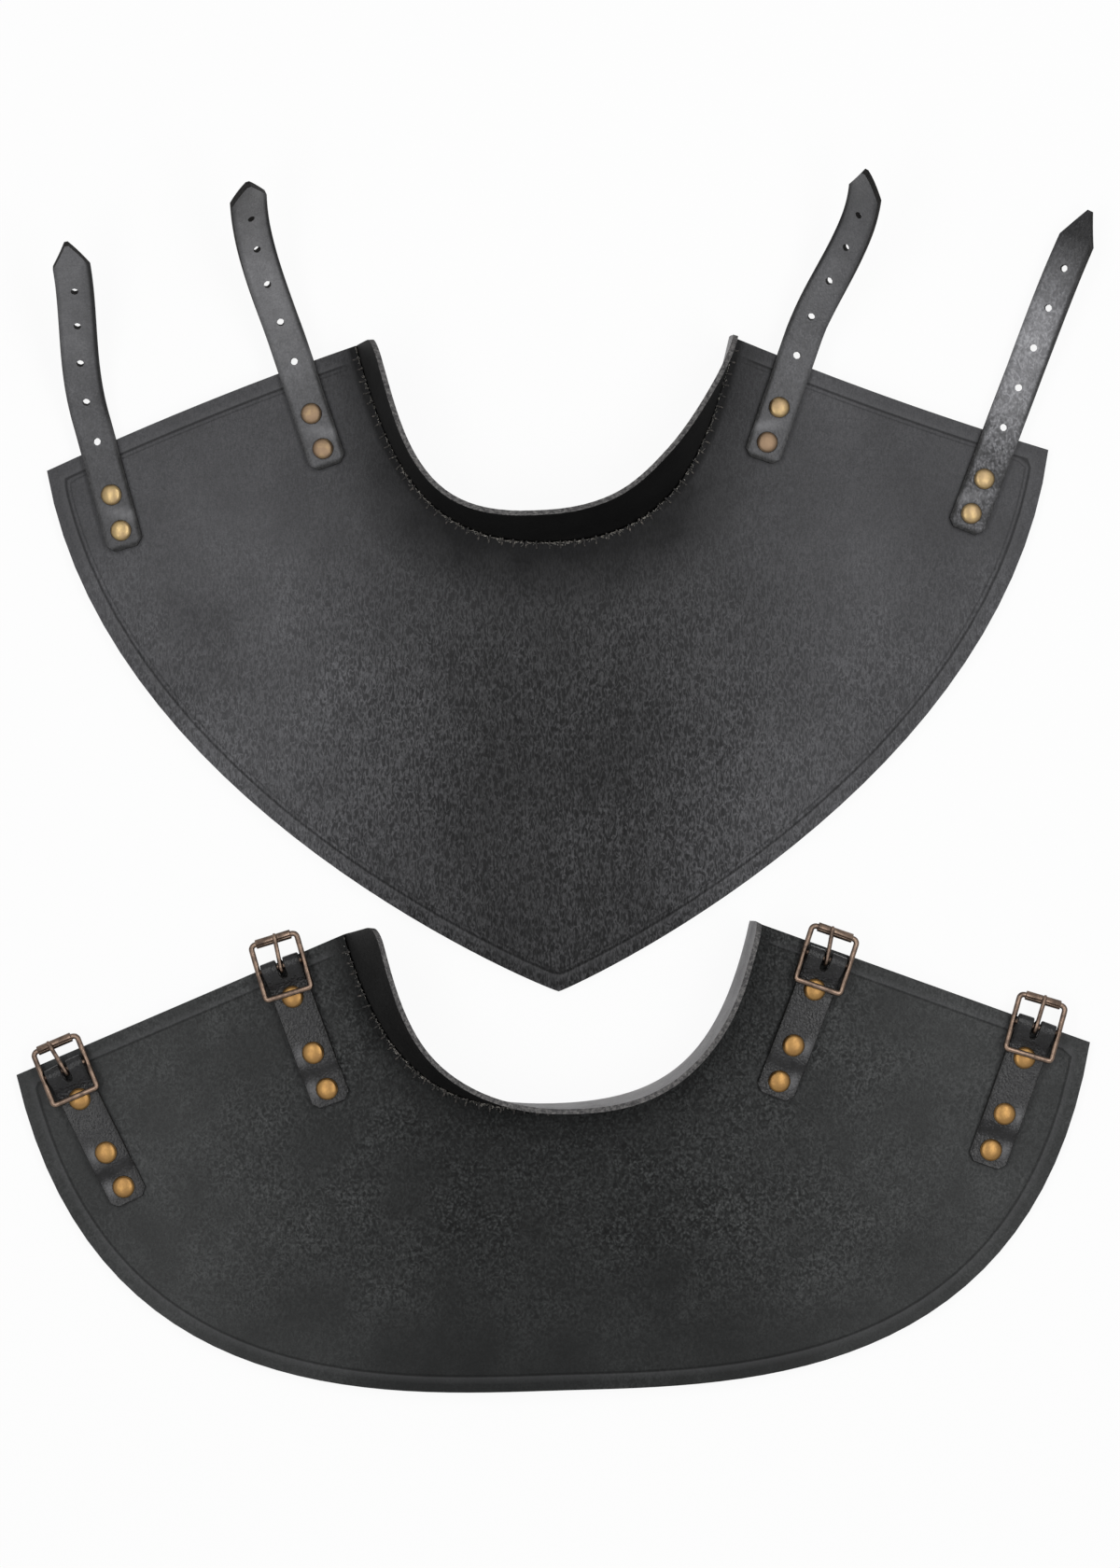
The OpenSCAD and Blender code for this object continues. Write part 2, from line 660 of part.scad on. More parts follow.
// The wire frame, lying flat with the centre bar's axis along X
module buckle_frame(i) {
    far = rail_x - roller_bend;
    near = rail_x - heel_bend;
    color(dark_brass) multmatrix(frame_m(i)) {
        side_rails(wire_d);
        translate([-far, roller_reach, 0]) rotate([0, 90, 0]) cylinder(h = 2 * far, d = wire_d);
        translate([-near, -heel_reach, 0]) rotate([0, 90, 0]) cylinder(h = 2 * near, d = wire_d);
        translate([far, roller_reach - roller_bend, 0]) bend(roller_bend);
        translate([-far, roller_reach - roller_bend, 0]) rotate([0, 0, 90]) bend(roller_bend);
        translate([-near, -heel_reach + heel_bend, 0]) rotate([0, 0, 180]) bend(heel_bend);
        translate([near, -heel_reach + heel_bend, 0]) rotate([0, 0, 270]) bend(heel_bend);
    }
}

// The centre bar, coped to fit against the side rails
module buckle_bar(i) {
    color(dark_brass) multmatrix(frame_m(i)) difference() {
        translate([-rail_x, 0, 0]) rotate([0, 90, 0]) cylinder(h = 2 * rail_x, d = bar_d);
        side_rails(wire_d);
    }
}

module buckle_roller(i) {
    color(dark_brass) multmatrix(roller_m(i)) rotate([0, 90, 0]) difference() {
        cylinder(h = roller_l, d = roller_d, center = true);
        cylinder(h = roller_l + 2, d = wire_d + 2 * run_gap, center = true);
        rotate([0, 0, 90 + slit_turn]) translate([0, -roller_slit / 2, -roller_l])
            cube([roller_d, roller_slit, 2 * roller_l]);
    }
}

// The prong: one wire with an open eye round the centre bar and a straight run over the roller
module buckle_prong(i) {
    rise = atan2(prong_top - eye_r, roller_reach);
    run = roller_reach + prong_over - prong_d / 2;
    color(dark_brass) multmatrix(prong_m(i) * turn_x(rise)) {
        rotate([90, 0, 90]) rotate([0, 0, 90]) rotate_extrude(angle = eye_turn)
            translate([eye_r, 0]) circle(d = prong_d);
        translate([0, 0, eye_r]) rotate([-90, 0, 0]) cylinder(h = run, d = prong_d);
        translate([0, run, eye_r]) rotate([-90, 0, 0]) rotate_extrude() intersection() {
            circle(d = prong_d);
            square(prong_d);
        }
    }
}

front_plate();
front_collar();
front_stitching();
back_plate();
back_collar();
back_stitching();
for (i = [1:4]) {
    strap_root(i);
    strap_tail(i);
    strap_rivets(i);
    strap_rivet_backs(i);
    chape(i);
    chape_rivets(i);
    chape_rivet_backs(i);
    buckle_frame(i);
    buckle_bar(i);
    buckle_roller(i);
    buckle_prong(i);
}
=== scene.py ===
"""Leather gorget laid open on a pale table: its hides, thread, rivets, buckles, light and camera.

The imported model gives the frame. Every piece is modelled in millimetres in the frame of the half
that carries it, and is then placed on the table in metres.
"""

from __future__ import annotations

import logging
import math
import random
from dataclasses import dataclass, field
from enum import Enum
from typing import Callable, Iterable, Sequence

import bmesh
import bpy
import numpy as np
from bmesh.types import BMEdge, BMesh, BMVert
from bpy.types import Material, Mesh, Node, NodeSocket, NodeTree, Object
from mathutils import Matrix, Vector, noise

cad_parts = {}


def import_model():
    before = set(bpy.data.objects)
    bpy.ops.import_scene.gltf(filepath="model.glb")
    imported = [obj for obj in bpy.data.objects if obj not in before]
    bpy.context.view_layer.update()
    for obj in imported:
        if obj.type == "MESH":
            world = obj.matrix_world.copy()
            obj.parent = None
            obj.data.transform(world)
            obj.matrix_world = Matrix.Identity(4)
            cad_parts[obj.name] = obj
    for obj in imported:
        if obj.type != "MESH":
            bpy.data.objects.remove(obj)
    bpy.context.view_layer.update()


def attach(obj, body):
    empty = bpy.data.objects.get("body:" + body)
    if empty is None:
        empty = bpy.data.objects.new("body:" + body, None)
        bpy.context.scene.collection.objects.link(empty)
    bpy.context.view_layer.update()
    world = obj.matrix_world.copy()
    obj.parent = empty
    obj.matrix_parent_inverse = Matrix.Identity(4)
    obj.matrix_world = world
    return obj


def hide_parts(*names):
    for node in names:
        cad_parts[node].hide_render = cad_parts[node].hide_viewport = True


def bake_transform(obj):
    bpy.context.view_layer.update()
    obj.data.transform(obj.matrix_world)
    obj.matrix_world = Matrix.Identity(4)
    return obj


LOG = logging.getLogger("gorget")
MM = 0.001
SIDES = (1, 2, 3, 4)
SEED = 7

# Where most of a noise pattern's values lie
MOST = (0.35, 0.65)

# A place up the table, in metres, that no piece reaches, so that its grain is nowhere calmer
NOWHERE = (0.5, 0.6)

# The distance from the seam that a piece without a seam is given, in millimetres
NO_SEAM = 40.0

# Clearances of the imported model, in millimetres
SEAT_GAP = 0.15
FOLD_GAP = 0.1
RUN_GAP = 0.08
REST_GAP = 0.08
FREE_GAP = 0.3


class Layer(Enum):
    """The material slots of a piece of leather, in the order that its mesh uses."""

    GRAIN = 0
    FLESH = 1
    CUT = 2


class Fade(Enum):
    """What a hide's second colour comes in with: the distance from the middle, or the run along a strip."""

    ACROSS = "across"
    ALONG = "along"


def ramp(low: float, high: float, value: float) -> float:
    """A smooth step from 0 at low to 1 at high."""
    t = min(1.0, max(0.0, (value - low) / (high - low)))
    return t * t * (3 - 2 * t)


def cubic(handles: Sequence[Vector], t: float) -> Vector:
    """Reads a cubic Bezier curve.

    Args:
        handles: start, two grips and end.
        t: the share of the way, from 0 to 1.

    Returns:
        The point, in the handles' own dimensions.
    """
    a, b, c, d = handles
    s = 1 - t
    return a * s**3 + b * (3 * t * s * s) + c * (3 * t * t * s) + d * t**3


def through(values: Sequence[float], u: float) -> float:
    """Reads a smooth curve through equally spaced values.

    Args:
        values: the values that it passes through.
        u: the place, as a share from 0 to 1.

    Returns:
        The curve's value there.
    """
    last = len(values) - 1
    k = min(int(u * last), last - 1)
    t = u * last - k
    a, b, c, d = values[max(k - 1, 0)], values[k], values[k + 1], values[min(k + 2, last)]
    return b + 0.5 * t * (c - a + t * (2 * a - 5 * b + 4 * c - d + t * (3 * (b - c) + d - a)))


def turn(axis: str, degrees: float) -> Matrix:
    """A turn about X, Y or Z."""
    return Matrix.Rotation(math.radians(degrees), 4, axis)


def move(x: float, y: float, z: float) -> Matrix:
    """A move."""
    return Matrix.Translation((x, y, z))


def distances(points: np.ndarray, path: Sequence[Vector]) -> np.ndarray:
    """The distance from each point to a path of straight pieces.

    Args:
        points: rows of x and y.
        path: the corners of the path.

    Returns:
        One distance for each row.
    """
    best = np.full(len(points), 1e9)
    for a, b in zip(path, path[1:]):
        start, run = np.array(a.xy), np.array((b - a).xy)
        share = np.clip(((points - start) @ run) / max(run @ run, 1e-9), 0, 1)
        best = np.minimum(best, np.linalg.norm(points - start - share[:, None] * run, axis=1))
    return best


# Finishes


def linear(code: str) -> tuple[float, float, float, float]:
    """Turns an sRGB hex value to a linear colour.

    Args:
        code: the colour, such as #2f2f30.

    Returns:
        Red, green, blue and alpha.
    """
    parts = [int(code[k : k + 2], 16) / 255 for k in (1, 3, 5)]
    flat = [p / 12.92 if p <= 0.04045 else ((p + 0.055) / 1.055) ** 2.4 for p in parts]
    return (flat[0], flat[1], flat[2], 1.0)


def node(tree: NodeTree, kind: str, inputs: dict | None = None, **settings) -> Node:
    """Adds a node with its settings and links.

    Args:
        tree: the material's node tree.
        kind: the node's type, without the ShaderNode before it.
        inputs: values, output sockets or nodes, by the input's name or number. A node gives its first output.
        settings: the node's own properties.

    Returns:
        The new node.
    """
    made = tree.nodes.new("ShaderNode" + kind)
    for name, value in settings.items():
        setattr(made, name, value)
    for key, value in (inputs or {}).items():
        socket = made.inputs[key]
        if isinstance(value, Node):
            value = value.outputs[0]
        if isinstance(value, NodeSocket):
            tree.links.new(value, socket)
        else:
            socket.default_value = value
    return made


def spread(*ends: float) -> dict[int, float]:
    """A Map Range node's inputs: the lowest and highest value that it reads, and what each gives."""
    return dict(zip((1, 2, 3, 4), ends))


def per(size_mm: float) -> float:
    """The scale of a pattern whose unit is so many millimetres."""
    return 1 / (size_mm * MM)


def unit(across_mm: float, along_mm: float, deep_mm: float = 3.0) -> tuple[float, float, float]:
    """The scale of coordinates in which a pattern's unit is so many millimetres each way."""
    return per(across_mm), per(along_mm), per(deep_mm)


@dataclass(frozen=True)
class Finish:
    """A finish: one principled shader, with its patterns in the object's own coordinates."""

    name: str

    def surface(self, tree: NodeTree, place: NodeSocket) -> dict[str, object]:
        """Adds the patterns.

        Args:
            tree: the material's node tree.
            place: the object's coordinates in metres.

        Returns:
            The shader's inputs by name: values, sockets or nodes.
        """
        raise NotImplementedError

    def build(self) -> Material:
        """Makes the material.

        Returns:
            The material, ready for a slot.
        """
        material = bpy.data.materials.new(self.name)
        material.use_nodes = True
        tree = material.node_tree
        tree.nodes.clear()
        inputs = self.surface(tree, node(tree, "TexCoord").outputs["Object"])
        node(tree, "OutputMaterial", {"Surface": node(tree, "BsdfPrincipled", inputs)})
        return material


@dataclass(frozen=True)
class GrainHide(Finish):
    """Drum-dyed cowhide, waxed on its grain side: satin and near-black, with a painted sheen on its flanks
    and bends and painted shade along its seam, and with pebbles and creases painted pale one by one, partly
    as grain and partly as painted highlights where they would catch the light.

    Tones are shares of the dye's own colour, depths and sizes are in millimetres, and heights on the
    table (calm_y, neck_y) are in metres. The real hide's creases and pebbles are 0.3 to 1 mm across, too
    fine to show from the camera, so their patterns are drawn up to four times as coarse. Its pores are
    about 0.2 mm and are drawn at 0.7 mm for the same reason.
    """

    # Dye
    base: str = "#2f2f30"
    # Painted sheen: the paler colour where the lamps' gloss falls on the flanks and bends
    wear_and_sheen: str = "#4b4b4d"
    # Painted shade along the seam
    shade_colour: str = "#111112"
    far: str = ""
    fade: Fade = Fade.ACROSS
    span: tuple[float, float] = (0.03, 0.12)
    far_span: tuple[float, float] = (0.6, 0.92)
    # Grain
    cell_mm: tuple[float, float] = (1.3, 1.9)
    cell_tone: float = 0.35
    cell_depth: float = 0.05
    stroke_mm: tuple[float, float] = (1.2, 3.6)
    stroke_w: float = 0.11
    stroke_tone: float = 1.7
    stroke_depth: float = 0.08
    drift_mm: float = 5.0
    drift_reach: float = 1.6
    pore_mm: float = 0.7
    pore_tone: float = 0.18
    pore_depth: float = 0.05
    cloud_mm: float = 60.0
    cloud_tone: float = 0.14
    patch_mm: float = 22.0
    patch_tone: float = 0.1
    # Where the grain is calmer: away from the neck, on the parts with painted sheen and from patch to patch
    calm_y: tuple[float, float] = (0.035, 0.11)
    calm_aside: float = 0.36
    lively: tuple[float, float] = (0.75, 1.15)
    # Fine cracks in the wax of the parts with painted sheen
    crackle_mm: tuple[float, float] = (5.0, 3.4)
    crackle_w: float = 0.06
    crackle_tone: float = 0.0
    crackle_depth: float = 0.0
    # Painted shade along the seam, darkest in its fold and under the neck
    seam_shade_mm: float = 30.0
    fold_mm: tuple[float, float] = (2.5, 6.0)
    seam_shade_share: float = 0.85
    neck_y: tuple[float, float] = (0.105, 0.15)
    neck_shade: tuple[float, float] = (1.35, 0.5)
    # The tooled line and a fainter one beside it
    line_mm: tuple[float, float] = (6.6, 8.5)
    line_w: tuple[float, float] = (0.75, 0.5)
    line_tone: tuple[float, float] = (0.6, 0.3)
    line_depth: float = 0.2
    # Marks and gloss: a painted highlight on the raised border, the dark of walls and tooled lines deepened
    # as painted shade, a painted highlight where a strip shines, and pale specks of painted sparkle
    lip: str = "#69696b"
    wall: str = "#060606"
    bright: str = "#a3a3a6"
    sparkle: str = "#77767a"
    sparkle_mm: float = 1.0
    speck: float = 0.0
    wax: tuple[float, float] = (0.36, 0.5)
    shine: float = 0.09

    def drifted(self, tree: NodeTree, place: NodeSocket) -> Node:
        """Pushes the coordinates about by about half a millimetre, so that no row of cells is straight.

        Args:
            tree: the material's node tree.
            place: the object's coordinates.

        Returns:
            The drifted coordinates.
        """
        drift = node(tree, "TexNoise", {"Vector": place, "Scale": per(self.drift_mm), "Detail": 2.0})
        bent = node(tree, "VectorMath", {0: drift.outputs["Color"], 1: (0.5, 0.5, 0.5)}, operation="SUBTRACT")
        bent = node(tree, "VectorMath", {0: bent, "Scale": self.drift_reach * MM}, operation="SCALE")
        return node(tree, "VectorMath", {0: place, 1: bent}, operation="ADD")

    def sheen_measure(self, tree: NodeTree, place: NodeSocket) -> NodeSocket | Node:
        """Measures what the second colour, the painted sheen, comes in with.

        Args:
            tree: the material's node tree.
            place: the object's coordinates.

        Returns:
            The distance from the middle in metres, or the run along a strip from 0 to 1.
        """
        if self.fade is Fade.ALONG:
            return node(tree, "Attribute", attribute_name="along").outputs["Fac"]
        axis = node(tree, "SeparateXYZ", {0: place})
        return node(tree, "Math", {0: axis.outputs["X"]}, operation="ABSOLUTE")

    def seam_shade(self, tree: NodeTree, high: NodeSocket, patch: Node) -> Node:
        """Paints shade along the seam: black in the fold, patchy beyond it, most under the neck.

        Args:
            tree: the material's node tree.
            high: the place up the table.
            patch: the pattern of broad patches.

        Returns:
            The painted shade's share, from 0 to 1.
        """
        seam = node(tree, "Attribute", attribute_name="seam_mm").outputs["Fac"]
        wide = node(tree, "MapRange", {0: seam, **spread(0.5, self.seam_shade_mm, self.seam_shade_share, 0.0)})
        for source, ends in (
            (patch, spread(*MOST, 0.7, 1.3)),
            (high, spread(*self.neck_y, *self.neck_shade)),
        ):
            share = node(tree, "MapRange", {0: source, **ends})
            wide = node(tree, "Math", {0: wide, 1: share}, operation="MULTIPLY")
        fold = node(tree, "MapRange", {0: seam, **spread(*self.fold_mm, 1.0, 0.0)})
        return node(tree, "Math", {0: wide, 1: fold}, operation="MAXIMUM")

    def crackle(self, tree: NodeTree, bent: Node, patch: Node, aside: Node) -> Node:
        """Draws the net of fine cracks, kept to the parts with painted sheen and to some patches.

        Args:
            tree: the material's node tree.
            bent: the drifted coordinates.
            patch: the pattern of broad patches.
            aside: the share of the painted sheen colour.

        Returns:
            0 in a crack and 1 between cracks.
        """
        cells = node(tree, "Mapping", {"Vector": bent, "Scale": unit(*self.crackle_mm)})
        crack = node(tree, "TexVoronoi", {"Vector": cells, "Scale": 1.0}, feature="DISTANCE_TO_EDGE")
        gap = node(tree, "MapRange", {0: crack, **spread(0.0, self.crackle_w, 0.0, 1.0)})
        for closed in (
            node(tree, "Math", {0: 1.0, 1: aside}, operation="SUBTRACT"),
            node(tree, "MapRange", {0: patch, **spread(0.45, 0.6, 1.0, 0.0)}),
        ):
            gap = node(tree, "Math", {0: gap, 1: closed}, operation="MAXIMUM")
        return gap

    def tooling(self, tree: NodeTree) -> list[Node]:
        """Draws the pressed line round the border, darkened partly as painted shade in its groove, and the
        pale band on its outer side, a painted highlight on the raised edge.

        Args:
            tree: the material's node tree.

        Returns:
            How deep the line is and how pale the band is, both from 0 to 1.
        """
        edge = node(tree, "Attribute", attribute_name="edge_mm").outputs["Fac"]
        tooled = node(tree, "Attribute", attribute_name="tooled").outputs["Fac"]
        lines = []
        for place_mm, wide, strength in zip(self.line_mm, self.line_w, self.line_tone):
            off = node(tree, "Math", {0: edge, 1: place_mm}, operation="SUBTRACT")
            off = node(tree, "Math", {0: off}, operation="ABSOLUTE")
            lines.append(node(tree, "MapRange", {0: off, **spread(0.3 * wide, wide, strength, 0.0)}))
        line = node(tree, "Math", {0: lines[0], 1: lines[1]}, operation="MAXIMUM")
        first = self.line_mm[0]
        border = node(tree, "MapRange", {0: edge, **spread(first - 3.5, first - 0.8, 0.0, 0.2)})
        inside = node(tree, "MapRange", {0: edge, **spread(first - 0.6, first - 0.1, 1.0, 0.0)})
        band = node(tree, "Math", {0: border, 1: inside}, operation="MULTIPLY")
        return [node(tree, "Math", {0: mark, 1: tooled}, operation="MULTIPLY") for mark in (line, band)]

    def surface(self, tree: NodeTree, place: NodeSocket) -> dict[str, object]:
        """Adds the dye, the grain and the marks.

        Args:
            tree: the material's node tree.
            place: the object's coordinates in metres.

        Returns:
            The shader's inputs by name.
        """
        cloud, patch, pore = (
            node(
                tree, "TexNoise", {"Vector": place, "Scale": per(size), "Detail": detail, "Roughness": rough}
            )
            for size, detail, rough in (
                (self.cloud_mm, 4.0, 0.55),
                (self.patch_mm, 5.0, 0.6),
                (self.pore_mm, 3.0, 0.65),
            )
        )
        bent = self.drifted(tree, place)
        high = node(tree, "SeparateXYZ", {0: place}).outputs["Y"]

        # Dye: one colour in the middle, and a painted sheen where the lamps' gloss falls on the flanks and
        # bends, with painted shade along the seam
        way = self.sheen_measure(tree, place)
        aside = node(tree, "MapRange", {0: way, **spread(*self.span, 0.0, 1.0)})
        body = node(tree, "MixRGB", {0: aside, 1: linear(self.base), 2: linear(self.wear_and_sheen)})
        if self.far:
            beyond = node(tree, "MapRange", {0: way, **spread(*self.far_span, 0.0, 1.0)})
            body = node(tree, "MixRGB", {0: beyond, 1: body, 2: linear(self.far)})
        body = node(tree, "MixRGB", {0: self.seam_shade(tree, high, patch), 1: body, 2: linear(self.shade_colour)})

        # Grain: pale creases and pebbles between dark pores, drawn as tone and as relief, and calmer where
        # the hide came from the smooth back of the animal. Their pale tone is partly grain and partly painted
        # highlights, where they would catch the lamps
        lively = node(tree, "MapRange", {0: patch, **spread(0.36, 0.62, *self.lively)})
        for source, ends in (
            (high, spread(*self.calm_y, 1.0, 0.2)),
            (aside, spread(0.0, 1.0, 1.0, self.calm_aside)),
        ):
            calm = node(tree, "MapRange", {0: source, **ends})
            lively = node(tree, "Math", {0: lively, 1: calm}, operation="MULTIPLY")
        threads = node(tree, "Mapping", {"Vector": bent, "Scale": unit(*self.stroke_mm)})
        stroke = node(tree, "TexNoise", {"Vector": threads, "Scale": 1.0, "Detail": 1.5, "Distortion": 0.4})
        middle = node(tree, "Math", {0: stroke, 1: 0.5}, operation="SUBTRACT")
        middle = node(tree, "Math", {0: middle}, operation="ABSOLUTE")
        crease = node(tree, "MapRange", {0: middle, **spread(0.0, self.stroke_w, 1.0, 0.0)})
        crease = node(tree, "Math", {0: crease, 1: lively}, operation="MULTIPLY")
        cells = node(tree, "Mapping", {"Vector": bent, "Scale": unit(*self.cell_mm)})
        cell = node(tree, "TexVoronoi", {"Vector": cells, "Scale": 1.0}, feature="F1")
        pebble = node(tree, "MapRange", {0: cell, **spread(0.15, 0.8, 1.0, -1.0)})
        pebble = node(tree, "Math", {0: pebble, 1: lively}, operation="MULTIPLY")
        tones = [
            (crease, (0.0, 1.0), (1.0, 1 + 1.7 * self.stroke_tone)),
            (lively, (0.0, 1.0), (1.0, 1 - 0.3 * self.stroke_tone)),
            (pebble, (-1.0, 1.0), (1 - self.cell_tone, 1 + self.cell_tone)),
            (pore, (0.3, 0.7), (1 - self.pore_tone, 1 + self.pore_tone)),
            (cloud, MOST, (1 - self.cloud_tone, 1 + self.cloud_tone)),
            (patch, MOST, (1 - self.patch_tone, 1 + self.patch_tone)),
        ]
        relief = [(pebble, self.cell_depth), (crease, self.stroke_depth), (pore, self.pore_depth)]
        if self.crackle_tone:
            gap = self.crackle(tree, bent, patch, aside)
            tones.append((gap, (0.0, 1.0), (1 - self.crackle_tone, 1.0)))
            relief.append((gap, self.crackle_depth))
        grain = node(tree, "Value")
        grain.outputs[0].default_value = 1.0
        for source, reach, gives in tones:
            share = node(tree, "MapRange", {0: source, **spread(*reach, *gives)})
            grain = node(tree, "Math", {0: grain, 1: share}, operation="MULTIPLY")
        body = node(tree, "MixRGB", {0: 1.0, 1: body, 2: grain}, blend_type="MULTIPLY")

        # Marks: the tooled line, darkened partly as painted shade in its groove, and the pale band beside it,
        # a painted highlight; the dark walls of a strip, painted on its top as painted shade; the places that
        # shine, a painted highlight; and pale specks, painted sparkle
        line, band = self.tooling(tree)
        relief.append((line, -self.line_depth))
        side, glint = (
            node(tree, "Attribute", attribute_name=name).outputs["Fac"] for name in ("painted_shade", "glint")
        )
        painted_shade = node(tree, "Math", {0: side, 1: line}, operation="MAXIMUM")
        marks = [(band, self.lip), (painted_shade, self.wall), (glint, self.bright)]
        # Pale specks, painted sparkle where the glossy grain would catch the lamps
        if self.speck:
            dots = {"Vector": place, "Scale": per(self.sparkle_mm), "Detail": 2.0, "Roughness": 0.8}
            sparkles = {0: node(tree, "TexNoise", dots), **spread(0.62, 0.7, 0.0, self.speck)}
            marks.append((node(tree, "MapRange", sparkles), self.sparkle))
        for share, colour in marks:
            body = node(tree, "MixRGB", {0: share, 1: body, 2: linear(colour)})
        bumps: dict[str, Node] = {}
        for height, depth in relief:
            settings = {"Height": height, "Strength": 1.0, "Distance": abs(depth) * MM, **bumps}
            bumps = {"Normal": node(tree, "Bump", settings, invert=depth < 0)}
        rough = node(tree, "MapRange", {0: patch, **spread(0.35, 0.66, *self.wax)})
        return {"Base Color": body, "Roughness": rough, "IOR": 1.5, "Specular IOR Level": self.shine, **bumps}


@dataclass(frozen=True)
class FleshSide(Finish):
    """The hide's unfinished back: matt grey nap with loose fibres, darker where dye soaked in.

    Its nap is about 0.3 mm, too fine to show, and is drawn at 0.9 mm.
    """

    base: str = "#a3a1a3"
    dyed: str = "#797779"
    nap_mm: float = 0.9
    nap_depth: float = 0.35
    soak_mm: float = 22.0

    def surface(self, tree: NodeTree, place: NodeSocket) -> dict[str, object]:
        """Adds the nap and the soaked patches.

        Args:
            tree: the material's node tree.
            place: the object's coordinates in metres.

        Returns:
            The shader's inputs by name.
        """
        nap = node(
            tree, "TexNoise", {"Vector": place, "Scale": per(self.nap_mm), "Detail": 6.0, "Roughness": 0.75}
        )
        soak = node(
            tree, "TexNoise", {"Vector": place, "Scale": per(self.soak_mm), "Detail": 5.0, "Roughness": 0.65}
        )
        share = node(tree, "MapRange", {0: soak, **spread(*MOST, 0.0, 1.0)})
        body = node(tree, "MixRGB", {0: share, 1: linear(self.dyed), 2: linear(self.base)})
        fleck = node(tree, "MapRange", {0: nap, **spread(0.3, 0.7, 0.7, 1.15)})
        return {
            "Base Color": node(tree, "MixRGB", {0: 1.0, 1: body, 2: fleck}, blend_type="MULTIPLY"),
            "Roughness": 0.9,
            "Sheen Weight": 0.25,
            "Sheen Roughness": 0.5,
            "Normal": node(tree, "Bump", {"Height": nap, "Strength": 1.0, "Distance": self.nap_depth * MM}),
        }


@dataclass(frozen=True)
class Fibres(Finish):
    """Bare fibres: a dyed ground with paler strands that stand a little proud of it."""

    base: str
    fibre: str
    amount: float
    strand_mm: tuple[float, float, float]
    strand_reach: tuple[float, float]
    detail: float
    depth: float
    rough: float
    shine: float = 0.5

    def surface(self, tree: NodeTree, place: NodeSocket) -> dict[str, object]:
        """Adds the strands.

        Args:
            tree: the material's node tree.
            place: the object's coordinates in metres.

        Returns:
            The shader's inputs by name.
        """
        strands = node(tree, "Mapping", {"Vector": place, "Scale": unit(*self.strand_mm)})
        fibre = node(
            tree, "TexNoise", {"Vector": strands, "Scale": 1.0, "Detail": self.detail, "Roughness": 0.7}
        )
        share = node(tree, "MapRange", {0: fibre, **spread(*self.strand_reach, 0.0, self.amount)})
        return {
            "Base Color": node(tree, "MixRGB", {0: share, 1: linear(self.base), 2: linear(self.fibre)}),
            "Roughness": self.rough,
            "Specular IOR Level": self.shine,
            "Normal": node(tree, "Bump", {"Height": fibre, "Strength": 1.0, "Distance": self.depth * MM}),
        }


@dataclass(frozen=True)
class CutEdge(Fibres):
    """A knife-cut hide edge: layered fibres, dyed but rubbed paler along the corners.

    Real fibres are under 0.1 mm thick, too fine to show, so their bundles are drawn 0.35 mm thick.
    """

    strand_mm: tuple[float, float, float] = (1.4, 1.4, 0.35)
    strand_reach: tuple[float, float] = (0.42, 0.7)
    detail: float = 5.0
    depth: float = 0.3
    rough: float = 0.72
    shine: float = 0.12


@dataclass(frozen=True)
class WaxedThread(Fibres):
    """Waxed linen thread, dyed with the hide: dark and dull, with pale worn fibres.

    Its fibres are far too fine to show, and are drawn in bundles of 1.1 mm.
    """

    strand_mm: tuple[float, float, float] = (1.1, 1.1, 1.1)
    strand_reach: tuple[float, float] = (0.5, 0.68)
    detail: float = 3.0
    depth: float = 0.15
    rough: float = 0.75


@dataclass(frozen=True)
class AgedBrass(Finish):
    """Cast or drawn brass with antique patina: dull brown film, rubbed bright on domes and corners.

    Its casting pits are about 0.1 mm, too fine to show, and are drawn at 0.5 mm.
    """

    metal: str = "#c79a54"
    film: str = "#6b4a2a"
    grime: str = "#1d150f"
    film_mm: float = 3.5
    film_share: float = 0.35
    polish: float = 0.32
    dull: float = 0.55
    pit_mm: float = 0.5
    pit_depth: float = 0.03
    dent_mm: float = 2.2
    dent_depth: float = 0.08

    def surface(self, tree: NodeTree, place: NodeSocket) -> dict[str, object]:
        """Adds the film, the grime and the dents.

        Args:
            tree: the material's node tree.
            place: the object's coordinates in metres.

        Returns:
            The shader's inputs by name.
        """
        cloud = node(
            tree, "TexNoise", {"Vector": place, "Scale": per(self.film_mm), "Detail": 5.0, "Roughness": 0.65}
        )
        pit = node(
            tree, "TexNoise", {"Vector": place, "Scale": per(self.pit_mm), "Detail": 4.0, "Roughness": 0.7}
        )
        dent = node(tree, "TexNoise", {"Vector": place, "Scale": per(self.dent_mm), "Detail": 1.0})
        wear, tarnish, dirt = (
            node(tree, "Attribute", attribute_name=name).outputs["Fac"]
            for name in ("wear", "tarnish", "dirt")
        )
        film = node(tree, "MapRange", {0: cloud, **spread(0.62, 0.36, 0.0, self.film_share)})
        film = node(tree, "Math", {0: film, 1: tarnish}, operation="ADD", use_clamp=True)
        film = node(tree, "Math", {0: film, 1: wear}, operation="SUBTRACT", use_clamp=True)
        pits = node(tree, "MapRange", {0: pit, **spread(0.66, 0.78, 0.0, 0.5)})
        soil = node(tree, "Math", {0: dirt, 1: pits}, operation="MAXIMUM", use_clamp=True)
        body = node(tree, "MixRGB", {0: film, 1: linear(self.metal), 2: linear(self.film)})
        relief = node(tree, "Bump", {"Height": pit, "Strength": 1.0, "Distance": self.pit_depth * MM})
        dents = {"Height": dent, "Strength": 1.0, "Distance": self.dent_depth * MM, "Normal": relief}
        return {
            "Base Color": node(tree, "MixRGB", {0: soil, 1: body, 2: linear(self.grime)}),
            "Metallic": 1.0,
            "Roughness": node(tree, "MapRange", {0: film, **spread(0.0, 1.0, self.polish, self.dull)}),
            "Normal": node(tree, "Bump", dents),
        }


